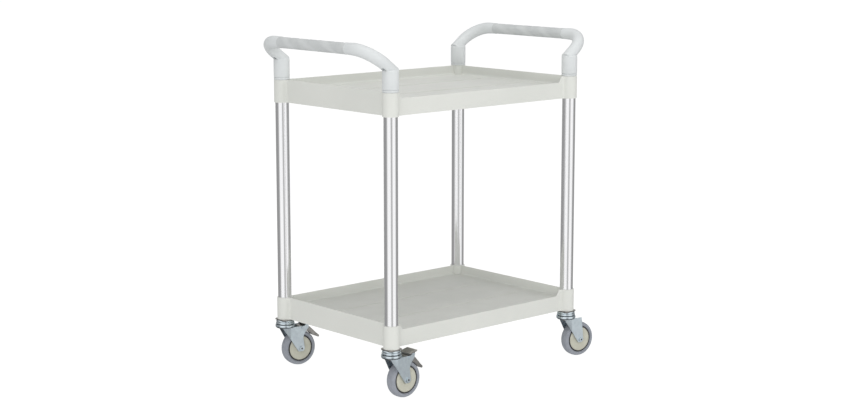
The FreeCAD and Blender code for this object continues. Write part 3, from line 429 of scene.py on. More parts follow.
def bump(tree, shader, height, distance, strength):
    """A bump of the given distance in metres, on top of the bumps that are there already."""
    node = add_node(tree, "Bump", Strength=strength, Distance=distance)
    join(tree, height, node.inputs["Height"])
    earlier = shader.inputs["Normal"].links
    if earlier:
        join(tree, earlier[0].from_socket, node.inputs["Normal"])
    join(tree, node.outputs[0], shader.inputs["Normal"])


# %% [markdown]
# The trays are a warm, very pale grey polypropylene with a satin surface. What faces up gets a
# little dust, so the floors are a shade duller than the walls, and fine scratches cross both.

# %% Finish: tray plastic
tray_plastic, tree, shader, place = new_finish("tray_plastic", 0.42, Specular_IOR_Level=0.45)
grain = use_effect(tree, moulded_grain, place, Grain_Size=0.0007, Cloud_Size=0.15)
marks = use_effect(tree, fine_scratches, place, Spacing=0.05, Amount=0.5)["Mask"]
dust = use_effect(tree, settled_dust, place, Patch_Size=0.09, Amount=0.18)["Mask"]
base = tone(tree, grain["Clouds"], (0.735, 0.745, 0.705), (0.70, 0.712, 0.672))
dusty = tone(tree, dust, base, (0.56, 0.555, 0.53))
join(tree, tone(tree, marks, dusty, (0.86, 0.86, 0.84), share=0.16), shader.inputs["Base Color"])
vary_roughness(tree, shader, grain["Clouds"], 0.38, 0.48)
bump(tree, shader, grain["Height"], distance=0.00010, strength=0.35)
bump(tree, shader, calculate(tree, "MULTIPLY", marks, -1.0), distance=0.00006, strength=0.4)

# %% [markdown]
# The handles are a cooler, slightly translucent-looking grey-white. Their surface is smoother
# than the trays', with wear where hands slide over it. The rings under the handles have the same
# finish, as a material of their own, because they are a slot of their own in the record.

# %% Finish: handle plastic
handle_plastic, tree, shader, place = new_finish(
    "handle_plastic", 0.34, Specular_IOR_Level=0.5, Coat_Weight=0.08, Coat_Roughness=0.25)
grain = use_effect(tree, moulded_grain, place, Grain_Size=0.0009, Cloud_Size=0.05)
marks = use_effect(tree, fine_scratches, place, Spacing=0.03, Amount=0.6)["Mask"]
base = tone(tree, grain["Clouds"], (0.71, 0.735, 0.74), (0.675, 0.70, 0.705))
join(tree, tone(tree, marks, base, (0.88, 0.89, 0.89), share=0.2), shader.inputs["Base Color"])
vary_roughness(tree, shader, grain["Clouds"], 0.30, 0.42)
bump(tree, shader, grain["Height"], distance=0.00008, strength=0.35)
collar_plastic = handle_plastic.copy()
collar_plastic.name = "collar_plastic_finish"

# %% [markdown]
# The grips are a softer grey sleeve, with broad slanting streaks of a lighter grey painted on it:
# painted highlights, where its winding flutes catch the light. A slow wave across a slanting
# direction gives the streaks, and its own distortion breaks it up.

# %% Finish: grip plastic
grip_plastic, tree, shader, place = new_finish("grip_plastic", 0.5, Specular_IOR_Level=0.4)
grain = use_effect(tree, moulded_grain, place, Grain_Size=0.0006, Cloud_Size=0.02)
marks = use_effect(tree, fine_scratches, place, Spacing=0.02, Amount=0.7)["Mask"]
slant = add_node(tree, "Mapping", Rotation=(math.radians(58), 0, 0))
join(tree, place, slant.inputs["Vector"])
glint_wave = add_node(tree, "TexWave", {"bands_direction": "Y", "wave_profile": "SIN"},
                  Scale=7.0, Distortion=2.5, Detail=2.0)
join(tree, slant.outputs[0], glint_wave.inputs["Vector"])
base = tone(tree, grain["Clouds"], (0.58, 0.60, 0.60), (0.545, 0.565, 0.57))
# Painted highlights: the wave's crests lighten the grey in slanting streaks.
painted_glint_mask = span(tree, glint_wave.outputs["Fac"], 0.5, 1.0, 0.0, 0.6)
lit = tone(tree, painted_glint_mask, base, (0.66, 0.68, 0.68))
join(tree, tone(tree, marks, lit, (0.84, 0.85, 0.85), share=0.15), shader.inputs["Base Color"])
bump(tree, shader, grain["Height"], distance=0.00008, strength=0.4)

# %% [markdown]
# The uprights are polished tube. Almost all of what they show is the studio, so the colour is
# nearly white and the roughness low, with hair lines along the tube that blur it sideways.

# %% Finish: post metal
post_metal, tree, shader, place = new_finish("post_metal", 0.14, metallic=1.0)
lines = use_effect(tree, drawn_lines, place, Line_Width=0.0006, Line_Length=0.5)
smears = use_effect(tree, moulded_grain, place, Grain_Size=0.004, Cloud_Size=0.10)
base = tone(tree, lines["Streaks"], (0.94, 0.94, 0.95), (0.91, 0.91, 0.925))
join(tree, base, shader.inputs["Base Color"])
vary_roughness(tree, shader, smears["Clouds"], 0.12, 0.16)
bump(tree, shader, lines["Height"], distance=0.000004, strength=0.15)

# %% [markdown]
# The casters are pressed from steel and zinc plated: light, bluish and only half polished, with
# flecks and rubbed places. The rings of the swivel head run on balls and are polished, so they
# get a copy of the finish with one plain, low roughness.

# %% Finish: zinc steel
POLISHED_ROUGHNESS = 0.12

zinc_steel, tree, shader, place = new_finish("zinc_steel", 0.3, metallic=1.0)
zinc = use_effect(tree, zinc_flecks, place, Fleck_Size=0.0025)
marks = use_effect(tree, fine_scratches, place, Spacing=0.008, Amount=0.6)["Mask"]
base = tone(tree, zinc["Clouds"], (0.70, 0.785, 0.83), (0.60, 0.675, 0.725))
fleck = tone(tree, zinc["Flecks"], base, (0.80, 0.86, 0.88), share=0.10)
join(tree, tone(tree, marks, fleck, (0.86, 0.88, 0.88), share=0.25), shader.inputs["Base Color"])
vary_roughness(tree, shader, zinc["Flecks"], 0.38, 0.46)
bump(tree, shader, zinc["Flecks"], distance=0.00001, strength=0.2)
polished_zinc = zinc_steel.copy()
polished_zinc.name = "polished_zinc_finish"
tree = polished_zinc.node_tree
roughness = tree.nodes["Principled BSDF"].inputs["Roughness"]
tree.links.remove(roughness.links[0])
roughness.default_value = POLISHED_ROUGHNESS

# %% [markdown]
# The brake's hood and tail are the same steel in a browner, darker and duller tone, which is
# painted shade and reflection of their dark surroundings, with brighter scratches.

# %% Finish: pedal steel
pedal_steel, tree, shader, place = new_finish("pedal_steel", 0.45, metallic=1.0)
zinc = use_effect(tree, zinc_flecks, place, Fleck_Size=0.004)
marks = use_effect(tree, fine_scratches, place, Spacing=0.010, Amount=1.0)["Mask"]
# Painted shade and reflection: both tones are much darker and browner than the zinc's.
base = tone(tree, zinc["Clouds"], (0.46, 0.445, 0.42), (0.36, 0.35, 0.335))
join(tree, tone(tree, marks, base, (0.68, 0.67, 0.65), share=0.5), shader.inputs["Base Color"])
vary_roughness(tree, shader, zinc["Clouds"], 0.36, 0.52)
bump(tree, shader, marks, distance=0.00004, strength=0.4)

# %% [markdown]
# Grey tyre rubber has a violet cast and a dull bloom, with paler scuffs.

# %% Finish: tread rubber
tread_rubber, tree, shader, place = new_finish("tread_rubber", 0.62, Specular_IOR_Level=0.35)
grain = use_effect(tree, moulded_grain, place, Grain_Size=0.0008, Cloud_Size=0.012)
marks = use_effect(tree, fine_scratches, place, Spacing=0.012, Amount=0.8)["Mask"]
base = tone(tree, grain["Clouds"], (0.325, 0.345, 0.385), (0.275, 0.293, 0.332))
join(tree, tone(tree, marks, base, (0.45, 0.455, 0.485), share=0.3), shader.inputs["Base Color"])
vary_roughness(tree, shader, grain["Clouds"], 0.55, 0.72)
bump(tree, shader, grain["Height"], distance=0.00012, strength=0.5)

# %% [markdown]
# The discs on the wheels are an unpainted, slightly olive nylon, a little glossy. A nearly black
# finish is painted shade: it fills the gap between disc and tyre and the bottom of the axle sockets.

# %% Finishes: hub plastic and painted shade
hub_plastic, tree, shader, place = new_finish("hub_plastic", 0.38, Specular_IOR_Level=0.5)
grain = use_effect(tree, moulded_grain, place, Grain_Size=0.0008, Cloud_Size=0.02)
dust = use_effect(tree, settled_dust, place, Patch_Size=0.02, Amount=0.4)["Mask"]
base = tone(tree, grain["Clouds"], (0.56, 0.555, 0.465), (0.51, 0.505, 0.42))
join(tree, tone(tree, dust, base, (0.33, 0.32, 0.29)), shader.inputs["Base Color"])
vary_roughness(tree, shader, grain["Clouds"], 0.34, 0.46)
bump(tree, shader, grain["Height"], distance=0.00008, strength=0.35)
# Painted shade: a nearly black finish for the gaps and sockets where there is only shadow.
lip_rubber, tree, shader, place = new_finish("lip_rubber", 0.6, Specular_IOR_Level=0.3)
grain = use_effect(tree, moulded_grain, place, Grain_Size=0.0006, Cloud_Size=0.01)
dark = tone(tree, grain["Clouds"], (0.03, 0.03, 0.032), (0.05, 0.05, 0.05))
join(tree, dark, shader.inputs["Base Color"])
bump(tree, shader, grain["Height"], distance=0.00008, strength=0.35)

# %% [markdown]
# The frame's nodes keep their shape and get these finishes. The record says which slot each node
# belongs to, so the names of the finishes are the names of the slots. The square plates over the
# swivel heads, which are one piece with the stems, take the brake's darker steel in place of the
# zinc: painted shade for the gap under the sleeves and for the dark that they mirror.

# %% Put the finishes on the frame
FINISHES = {
    "tray_plastic": tray_plastic, "handle_plastic": handle_plastic,
    "collar_plastic": collar_plastic, "grip_plastic": grip_plastic, "post_metal": post_metal,
    "zinc_steel": zinc_steel, "pedal_steel": pedal_steel, "tread_rubber": tread_rubber,
    "hub_plastic": hub_plastic,
}
for row in frame["record"]["subparts"]:
    node = nodes[row["node"]]
    node.data.materials.clear()
    node.data.materials.append(FINISHES[row["material_slot"]])
# Painted shade: the stems take the brake's darker steel in place of the zinc.
for corner in POSTS:
    nodes[corner + "_caster_stem"].data.materials[0] = pedal_steel
bare = [name for name, node in nodes.items() if not node.data.materials]
print("nodes without a finish:", bare)

# %% [markdown]
# New pieces are modelled the way one does it by hand: a primitive is put in its place, opened in
# edit mode and shaped with a few operators. The helpers open and close such a piece. With no
# window, rotate and spin turn clockwise, so the helpers hand them the angle with a minus.

# %% Helpers for modelling
SAME_SPOT = 0.01 * MM


def open_primitive(name, add, **settings):
    """A primitive with nothing else selected, opened in edit mode with its place in its mesh."""
    bpy.ops.object.select_all(action="DESELECT")
    add(**settings)
    piece = bpy.context.object
    piece.name = name
    bpy.ops.object.transform_apply(location=True, rotation=True, scale=True)
    bpy.ops.object.mode_set(mode="EDIT")
    bpy.ops.mesh.select_mode(type="VERT")
    return piece


def pull(step):
    """Extrudes what is selected by a step in metres."""
    bpy.ops.mesh.extrude_region_move(TRANSFORM_OT_translate={"value": step})


def turn(angle, axis, centre):
    """Turns what is selected about an axis through a centre."""
    bpy.ops.transform.rotate(value=-angle, orient_axis=axis, center_override=centre)


def scale(factors, centre):
    """Scales what is selected away from a centre."""
    bpy.ops.transform.resize(value=factors, center_override=centre)


def pick(piece, kind, test):
    """Selects the faces or vertices whose place and normal pass the test, and nothing else."""
    bpy.ops.object.mode_set(mode="OBJECT")
    mesh = piece.data
    for items in (mesh.vertices, mesh.edges, mesh.polygons):
        items.foreach_set("select", [False] * len(items))
    by_face = kind == "FACE"
    bpy.context.tool_settings.mesh_select_mode = (not by_face, False, by_face)
    for item in mesh.polygons if by_face else mesh.vertices:
        place = item.center if by_face else item.co
        item.select = bool(test(place, item.normal))
    bpy.ops.object.mode_set(mode="EDIT")


def face_outwards():
    """Merges what lies on one spot and turns all faces outwards."""
    bpy.ops.mesh.select_all(action="SELECT")
    bpy.ops.mesh.remove_doubles(threshold=SAME_SPOT)
    bpy.ops.mesh.normals_make_consistent(inside=False)


def close_piece(piece, finish, soften=0.0, smooth=35):
    """Turns the faces outwards, softens sharp edges, and gives shading and finish."""
    face_outwards()
    bpy.ops.object.mode_set(mode="OBJECT")
    if soften:
        edges = piece.modifiers.new("soft_edges", "BEVEL")
        edges.width, edges.segments, edges.limit_method = soften, 3, "ANGLE"
        edges.angle_limit = math.radians(40)
        bpy.ops.object.modifier_apply(modifier=edges.name)
    bpy.ops.object.shade_smooth_by_angle(angle=math.radians(smooth))
    piece.data.materials.clear()
    piece.data.materials.append(finish)
    return piece


# %% [markdown]
# Much of a trolley is round. Such a piece starts as a line of edges, pulled from point to point
# along its outline, which is then spun once round an axis. The outline closes on its first point,
# so the spin leaves a closed shell.


# %% Helpers for turned pieces
def turned_piece(name, outline, centre, axis, finish, steps=72, **closing):
    """A line drawn through points in metres from one vertex, and spun once round an axis."""
    piece = open_primitive(name, bpy.ops.mesh.primitive_plane_add, size=MM, location=outline[0])
    bpy.ops.mesh.merge(type="CENTER")
    for before, after in zip(outline, outline[1:]):
        pull(Vector(after) - Vector(before))
    bpy.ops.mesh.select_all(action="SELECT")
    bpy.ops.mesh.spin(steps=steps, angle=-2 * math.pi, center=centre, axis=axis)
    return close_piece(piece, finish, **closing)


def turned_upright(name, shape, finish, x=0.0, y=0.0, **closing):
    """A piece round an upright axis, from (radius, height) pairs in millimetres."""
    outline = [((x + radius) * MM, y * MM, height * MM) for radius, height in shape]
    return turned_piece(name, outline, Vector((x, y, 0)) * MM, (0, 0, 1), finish, **closing)


# %% [markdown]
# Pieces that repeat are modelled once and copied, each copy with its own mesh. A matrix moves the
# mesh and not the object, so that every object stays at the origin, as the frame's nodes do. The
# last helper tells the frame what a piece moves with and what it stands for.


# %% Helpers for joining, copying and fitting
def join_pieces(first, *others):
    """Joins the others into the first."""
    bpy.ops.object.select_all(action="DESELECT")
    for piece in (first, *others):
        piece.select_set(True)
    bpy.context.view_layer.objects.active = first
    bpy.ops.object.join()
    return first


def placed_copy(model, name, place):
    """A copy with its own mesh, moved by a matrix in its mesh and not by its object."""
    twin = model.copy()
    twin.data = model.data.copy()
    twin.name = name
    twin.data.transform(place)
    bpy.context.scene.collection.objects.link(twin)
    return twin


def fit(piece, slot, body, *hidden):
    """Gives the piece its body, and hides the nodes that it stands for. The slot is not used."""
    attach(piece, body)
    if hidden:
        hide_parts(*hidden)


# %% [markdown]
# The handle is one hoop. At its foot it is a cup as wide as the tray's sleeve, closed by a round
# shoulder. Out of the shoulder comes a thinner arm, which leans outwards, swells a little in the
# bend and turns into the bar, and the bar is stepped in where the grip goes. A ring of vertices is
# pulled along this way, and spun a little at a time round the bend. Then half a hoop is mirrored.

# %% Handle hoop
HANDLE_REACH, HANDLE_RISE, ELBOW_RISE = 70, 52, 52.5
BEND, BEND_STEPS, BEND_SWELL = 66, 12, 0.4
ARM_RADIUS, BEND_RADIUS, BAR_RADIUS, EDGE_RADIUS, RECESS_RADIUS = 16.4, 16.6, 15.6, 14.9, 14.0
ARM_SUNK, SLOT_RING = 15, 12
RECESS_HALF, EDGE_WIDTH = 142, 1

ELBOW_HEIGHT = COLLAR_TOP + ELBOW_RISE
ELBOW = Vector((POST_X, -POST_Y, ELBOW_HEIGHT)) * MM
LEAN = math.atan2(HANDLE_REACH, HANDLE_RISE)
ARM_STRAIGHT = round(math.hypot(HANDLE_REACH, HANDLE_RISE) - BEND, 1)
UP_ARM = Vector((math.sin(LEAN), 0, math.cos(LEAN)))
OFF_ARM = Vector((-math.cos(LEAN), 0, math.sin(LEAN)))
ALONG_BAR = Vector((0, 1, 0))


def widen(before, after, centre):
    """Scales the selected ring from one radius to another."""
    scale((after / before, after / before, after / before), centre)


start = ELBOW - UP_ARM * ARM_SUNK * MM
hoop = open_primitive("handle_right_hoop", bpy.ops.mesh.primitive_circle_add, vertices=48,
                      radius=ARM_RADIUS * MM, fill_type="TRIFAN", location=start)
bpy.ops.mesh.select_all(action="SELECT")
turn(LEAN, "Y", start)
pick(hoop, "VERT", lambda place, normal: (place - start).length > ARM_RADIUS / 2 * MM)
pull(UP_ARM * (ARM_SUNK + SLOT_RING) * MM)
pull(UP_ARM * (ARM_STRAIGHT - SLOT_RING) * MM)
spot = ELBOW + UP_ARM * ARM_STRAIGHT * MM
widen(ARM_RADIUS, BEND_RADIUS, spot)
size = BEND_RADIUS
bend_centre = spot + ALONG_BAR * BEND * MM
for number in range(1, BEND_STEPS + 1):
    angle = math.pi / 2 * number / BEND_STEPS
    bpy.ops.mesh.spin(steps=1, angle=-math.pi / 2 / BEND_STEPS, center=bend_centre, axis=OFF_ARM)
    outwards = UP_ARM * math.sin(angle) - ALONG_BAR * math.cos(angle)
    spot = bend_centre + outwards * BEND * MM
    swollen = BEND_RADIUS + BEND_SWELL * math.sin(math.pi * number / BEND_STEPS)
    widen(size, swollen, spot)
    size = swollen
to_edge = POST_Y - BEND - RECESS_HALF - EDGE_WIDTH
for step, radius in ((to_edge, BAR_RADIUS), (EDGE_WIDTH, EDGE_RADIUS), (0, RECESS_RADIUS)):
    pull(ALONG_BAR * step * MM)
    spot = spot + ALONG_BAR * step * MM
    widen(size, radius, spot)
    size = radius
pull(ALONG_BAR * RECESS_HALF * MM)
bpy.ops.object.mode_set(mode="OBJECT")
other_half = hoop.modifiers.new("other_half", "MIRROR")
other_half.use_axis = (False, True, False)
other_half.merge_threshold = 0.1 * MM
bpy.ops.object.modifier_apply(modifier=other_half.name)
print("arm straight for:", ARM_STRAIGHT, "hoop faces:", len(hoop.data.polygons))

# %% [markdown]
# The arms are moulded hollow: from below, a short slot runs up each arm from the cup. The faces on
# the underside are chosen by their normal, inset to leave a lip, and pushed in.

# %% Slots under the arms
SLOT_START, SLOT_END, SLOT_LIP, SLOT_DEPTH = 13, 32, 1.4, 19
UNDERSIDE = 0.80


def under_arm(place, normal):
    """True for faces between the slot's ends that look away from the bar."""
    up = (place - ELBOW).dot(UP_ARM)
    return -normal.dot(OFF_ARM) > UNDERSIDE and SLOT_START * MM < up < SLOT_END * MM


bpy.ops.object.mode_set(mode="EDIT")
bpy.ops.mesh.select_all(action="SELECT")
bpy.ops.mesh.normals_make_consistent(inside=False)
pick(hoop, "FACE", under_arm)
bpy.ops.mesh.inset(thickness=SLOT_LIP * MM)
pull(OFF_ARM * SLOT_DEPTH * MM)
close_piece(hoop, handle_plastic, smooth=32)
print("hoop faces with slots:", len(hoop.data.polygons))

# %% [markdown]
# The cups are turned: straight sides, a foot with a small rounding that makes the shadow line
# over the collar, and a round shoulder, a quarter of an ellipse, that closes the top round the arm.

# %% Handle cups
CUP_RADIUS, CUP_BORE, CUP_CEILING = 22.2, 19.3, 2.5
SHOULDER_WIDTH, SHOULDER_HEIGHT, SHOULDER_STEPS = 5.5, 4.5, 4
CUP_GAP, CUP_CENTRE = 0.1, 0.1

foot, top = COLLAR_TOP + CUP_GAP, ELBOW_HEIGHT
cup_shape = [(CUP_BORE, foot), (21.2, foot), (21.9, foot + 0.3), (CUP_RADIUS, foot + 1.0)]
for number in range(SHOULDER_STEPS + 1):
    angle = math.pi / 2 * number / SHOULDER_STEPS
    cup_shape.append((round(CUP_RADIUS - SHOULDER_WIDTH * (1 - math.cos(angle)), 1),
                      round(top - SHOULDER_HEIGHT * (1 - math.sin(angle)), 1)))
cup_shape += [(CUP_CENTRE, top), (CUP_CENTRE, top - CUP_CEILING), (16.0, top - CUP_CEILING),
              (CUP_BORE, top - 6.0), (CUP_BORE, foot)]
cups = [turned_upright("cup", cup_shape, handle_plastic, x=POST_X, y=y, steps=64)
        for y in (-POST_Y, POST_Y)]
hoop = join_pieces(hoop, *cups)
hoop_left = placed_copy(hoop, "handle_left_hoop", Matrix.Rotation(math.pi, 4, "Z"))
fit(hoop, "handle_plastic", "trolley_frame", "handle_right")
fit(hoop_left, "handle_plastic", "trolley_frame", "handle_left")
print("hoop faces with cups:", len(hoop.data.polygons))

# %% [markdown]
# The grip is a soft sleeve on the bar with a bead at each end. Shallow flutes wind round it: six
# pairs of the sleeve's columns are drawn in a little, and a Twist modifier winds them.

# %% Grips
GRIP_BORE, GRIP_RADIUS, BEAD_RADIUS = 14.1, 15.3, 15.9
GRIP_HALF, SLEEVE_HALF = RECESS_HALF - 0.1, 136.2
GRIP_ROWS, GRIP_COLUMNS, FLUTES = 64, 48, 6
FLUTE_SCALE, FLUTE_WIND = 0.975, math.radians(460)

grip_end = [(GRIP_BORE, GRIP_HALF), (GRIP_RADIUS, GRIP_HALF), (BEAD_RADIUS, GRIP_HALF - 0.6),
            (BEAD_RADIUS, 137.0), (GRIP_RADIUS, SLEEVE_HALF)]
grip_shape = [(radius, -along) for radius, along in grip_end]
grip_shape += [(GRIP_RADIUS, SLEEVE_HALF * (2 * row / GRIP_ROWS - 1)) for row in range(1, GRIP_ROWS)]
grip_shape += grip_end[::-1] + grip_shape[:1]
grip = turned_piece("grip_right_sleeve", [(0, along * MM, radius * MM) for radius, along in grip_shape],
                    (0, 0, 0), (0, 1, 0), grip_plastic, steps=GRIP_COLUMNS)


def in_flute(place, normal):
    """True on the outside of the sleeve, on every eighth column and the one after it."""
    column = round(math.atan2(place.z, place.x) / (2 * math.pi) * GRIP_COLUMNS)
    outside = math.hypot(place.x, place.z) > (GRIP_RADIUS - 0.3) * MM
    between_beads = abs(place.y) < (SLEEVE_HALF - 0.7) * MM
    return outside and between_beads and column % (GRIP_COLUMNS // FLUTES) in (0, 1)


pick(grip, "VERT", in_flute)
scale((FLUTE_SCALE, 1, FLUTE_SCALE), (0, 0, 0))
bpy.ops.object.mode_set(mode="OBJECT")
wind = grip.modifiers.new("wind", "SIMPLE_DEFORM")
wind.deform_method, wind.deform_axis, wind.angle = "TWIST", "Y", FLUTE_WIND
bpy.ops.object.modifier_apply(modifier=wind.name)
bar_centre = Vector((POST_X + HANDLE_REACH, 0, ELBOW_HEIGHT + HANDLE_RISE)) * MM
grip.data.transform(Matrix.Translation(bar_centre))
grip_left = placed_copy(grip, "grip_left_sleeve", Matrix.Rotation(math.pi, 4, "Z"))
fit(grip, "grip_plastic", "trolley_frame", "grip_right")
fit(grip_left, "grip_plastic", "trolley_frame", "grip_left")
print("grip faces:", len(grip.data.polygons))

# %% [markdown]
# Between each cup and the tray sits a thin ring. It is stepped back at its edges, and so two fine
# shadow lines run round each corner. It is turned once at the origin and copied to each post, and
# the four copies are joined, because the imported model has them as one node.

# %% Collars
ring_edge = [(19.3, 0.0), (19.8, 0.0), (20.0, 1.3), (21.8, 1.5), (22.1, 2.0)]
ring_shape = [(radius, COLLAR_FOOT + step) for radius, step in ring_edge]
ring_shape += [(radius, COLLAR_TOP - step) for radius, step in ring_edge[::-1]]
collar = turned_upright("collar", ring_shape + ring_shape[:1], collar_plastic, steps=64)
rings = [placed_copy(collar, "ring", Matrix.Translation(post)) for post in POSTS.values()]
bpy.data.objects.remove(collar)
collars = join_pieces(*rings)
collars.name = "post_collar_rings"
fit(collars, "collar_plastic", "trolley_frame", "post_collars")
print("collar faces:", len(collars.data.polygons))

# %% [markdown]
# Where the tray's floor meets its walls the moulding has a hollow rounding. A rectangle of edges
# is pulled up and outwards in small steps along a quarter circle, and then back down behind it.

# %% Rounding round the tray floors
TRAY_WALL, FLOOR_HEIGHT, FILLET = 3.5, 35.5, 7.0
WELL_X, WELL_Y = POST_X - TRAY_WALL, POST_Y - TRAY_WALL
FILLET_ANGLES = [math.radians(degrees) for degrees in range(15, 91, 15)]


def floor_rounding(name, floor):
    """A strip with a hollow quarter-round face along the four walls, at a floor height in mm."""
    strip = open_primitive(name, bpy.ops.mesh.primitive_plane_add, size=1,
                           location=(0, 0, floor * MM))
    scale((2 * (WELL_X - FILLET) * MM, 2 * (WELL_Y - FILLET) * MM, 1), (0, 0, floor * MM))
    bpy.ops.mesh.delete(type="ONLY_FACE")
    bpy.ops.mesh.select_all(action="SELECT")
    steps = [(FILLET * (1 - math.sin(a)), FILLET * (1 - math.cos(a))) for a in FILLET_ANGLES]
    inset, height = FILLET, 0.0
    for new_inset, new_height in steps + [(0.0, 0.0), (FILLET, 0.0)]:
        pull((0, 0, (new_height - height) * MM))
        scale(((WELL_X - new_inset) / (WELL_X - inset), (WELL_Y - new_inset) / (WELL_Y - inset), 1),
              (0, 0, 0))
        inset, height = new_inset, new_height
    close_piece(strip, tray_plastic, smooth=40)
    fit(strip, "tray_plastic", "trolley_frame")
    print(name, [round(number, 4) for number in strip.dimensions])


for tray, tray_foot in TRAY_FEET.items():
    floor_rounding(tray + "_floor_rounding", tray_foot + FLOOR_HEIGHT)

# %% [markdown]
# All four casters are built in one place, at the origin, with the swivel axis on Z and the wheel
# behind it on +X, and are then copied to their corners, each turned the way it stands. The wheel
# comes first: a tyre with round shoulders, and on each side a domed disc with a raised rim and a
# nearly black ring between the two, painted shadow in the gap. All are lines spun round the axle.

# %% Wheels
STANDS = {"front_left": 0, "front_right": -9, "back_right": -9, "back_left": -9}


def at_corner(corner):
    """The matrix that puts a caster's piece in its corner."""
    return Matrix.Translation(POSTS[corner]) @ Matrix.Rotation(math.radians(STANDS[corner]), 4, "Z")


def to_corners(model, part, slot, body, *hidden, corners=tuple(POSTS)):
    """Copies a model to its corners; {} in the body's name stands for the corner's name."""
    for corner in corners:
        twin = placed_copy(model, f"{corner}_{part}", at_corner(corner))
        fit(twin, slot, body.format(corner), *[f"{corner}_{node}" for node in hidden])
    bpy.data.objects.remove(model)
    print(part, "on", len(corners), "casters")


def turned_on_axle(name, shape, finish, **closing):
    """A piece round the axle, from (radius, distance from the wheel's middle) in millimetres."""
    outline = [(TRAIL * MM, y * MM, (AXLE + radius) * MM) for radius, y in shape]
    centre = Vector((TRAIL, 0, AXLE)) * MM
    return turned_piece(name, outline, centre, (0, 1, 0), finish, **closing)


def on_both_sides(name, shape, finish):
    """A shape on each side of the wheel, as one piece."""
    sides = [[(radius, side * y) for radius, y in shape] for side in (-1, 1)]
    return join_pieces(*[turned_on_axle(name, one_side, finish) for one_side in sides])


half_tyre = [(36.0, 11.3), (38.2, 11.5), (38.9, 13.4), (40.2, 14.7), (41.0, 14.4), (41.8, 14.9),
             (44.0, 14.8), (46.2, 13.6), (48.0, 11.6), (49.2, 8.8), (49.8, 5.4), (50.0, 1.8)]
tyre_shape = [(radius, -y) for radius, y in half_tyre] + half_tyre[::-1]
tyre = turned_on_axle("tyre", tyre_shape + tyre_shape[:1], tread_rubber, steps=96, smooth=50)
to_corners(tyre, "tyre_ring", "tread_rubber", "{}_wheel", "tyre")
disc_shape = [(9.7, 12.65), (9.7, 14.4), (10.3, 14.8), (14.6, 14.8), (15.4, 14.2), (17.0, 14.1),
              (27.0, 14.6), (31.0, 14.4), (33.2, 13.7), (34.2, 12.9), (34.3, 12.65), (9.7, 12.65)]
discs = on_both_sides("disc", disc_shape, hub_plastic)
to_corners(discs, "wheel_discs", "hub_plastic", "{}_wheel", "thread_guards")
# Painted shadow: a nearly black ring fills the gap between disc and tyre.
lip_shape = [(34.4, 12.2), (34.6, 12.7), (36.2, 12.5), (38.1, 12.1), (38.1, 11.7), (34.4, 12.2)]
lips = on_both_sides("lip", lip_shape, lip_rubber)
to_corners(lips, "dust_lips", "tread_rubber", "{}_wheel")

# %% [markdown]
# The swivel head is two pressed rings with the balls between them: the crown of the fork, with an
# upturned rim, and the race above it with two rolled beads. Round beads are what gives the head its
# stripes of dark and light, because each of them mirrors the whole studio in a small height. The
# race stays with the post, and the crown is made once for each fork and turns with it.

# %% Swivel head
race_shape = [(6.2, 123.35), (24.3, 123.35), (24.6, 124.6), (25.6, 125.0), (26.3, 126.0),
              (26.5, 127.4), (26.2, 128.9), (25.3, 129.9), (24.6, 130.4), (24.5, 131.2),
              (25.2, 131.8), (25.7, 133.0), (25.3, 134.5), (24.0, 135.8), (22.2, 136.7),
              (20.5, 136.95), (6.2, 136.95), (6.2, 123.35)]
race = turned_upright("race", race_shape, polished_zinc, smooth=45)
to_corners(race, "race_ring", "zinc_steel", "trolley_frame", "upper_race")
crown_shape = [(6.2, 114.0), (23.5, 114.0), (26.0, 114.7), (27.4, 116.1), (28.0, 118.2),
               (28.0, 121.2), (27.7, 122.9), (26.9, 123.7), (26.0, 123.4), (25.6, 122.4),
               (25.5, 119.0), (24.8, 117.6), (23.4, 117.0), (6.2, 117.0), (6.2, 114.0)]

# %% [markdown]
# A fork leg is sheet steel with a bend down its front, where it folds in towards the crown. The
# outline is drawn corner by corner and filled, its corners are rounded by a vertex bevel, the fold
# is a bisected line with everything in front of it turned, and then the sheet gets its thickness.

# %% Fork legs
PLAIN_LEG = [(-17.2, 115.5, 0), (32.0, 41.0, 7), (51.3, 41.0, 9), (43.1, 115.5, 0)]
BRAKE_LEG = [(-17.2, 115.5, 0), (32.0, 41.0, 7), (52.9, 41.0, 9), (47.2, 82.1, 10),
             (52.5, 94.6, 8), (64.8, 108.3, 6), (66.0, 120.8, 4), (57.4, 120.8, 3),
             (51.7, 115.0, 3), (24.6, 115.0, 0)]
LEG_SIDE, LEG_SHEET = 20, 2.5
FOLD_AT, FOLD = 6.5, math.radians(18)


def drawn_sheet(name, corners, y):
    """A filled outline across Y, from corners (x, z, radius) in millimetres, left in edit mode."""
    spots = [Vector((x, y, z)) * MM for x, z, _ in corners]
    sheet = open_primitive(name, bpy.ops.mesh.primitive_plane_add, size=MM, location=spots[0])
    bpy.ops.mesh.merge(type="CENTER")
    for before, after in zip(spots, spots[1:]):
        pull(after - before)
    bpy.ops.mesh.select_all(action="SELECT")
    bpy.ops.mesh.edge_face_add()
    for number, (*_, radius) in enumerate(corners):
        if radius == 0:
            continue
        spot = spots[number]
        back, ahead = spots[number - 1] - spot, spots[(number + 1) % len(spots)] - spot
        cut_back = radius * MM / math.tan(back.angle(ahead) / 2)
        pick(sheet, "VERT", lambda place, normal: (place - spot).length < SAME_SPOT)
        bpy.ops.mesh.bevel(offset_type="OFFSET", offset=cut_back, segments=6, affect="VERTICES")
    bpy.ops.mesh.select_all(action="SELECT")
    return sheet


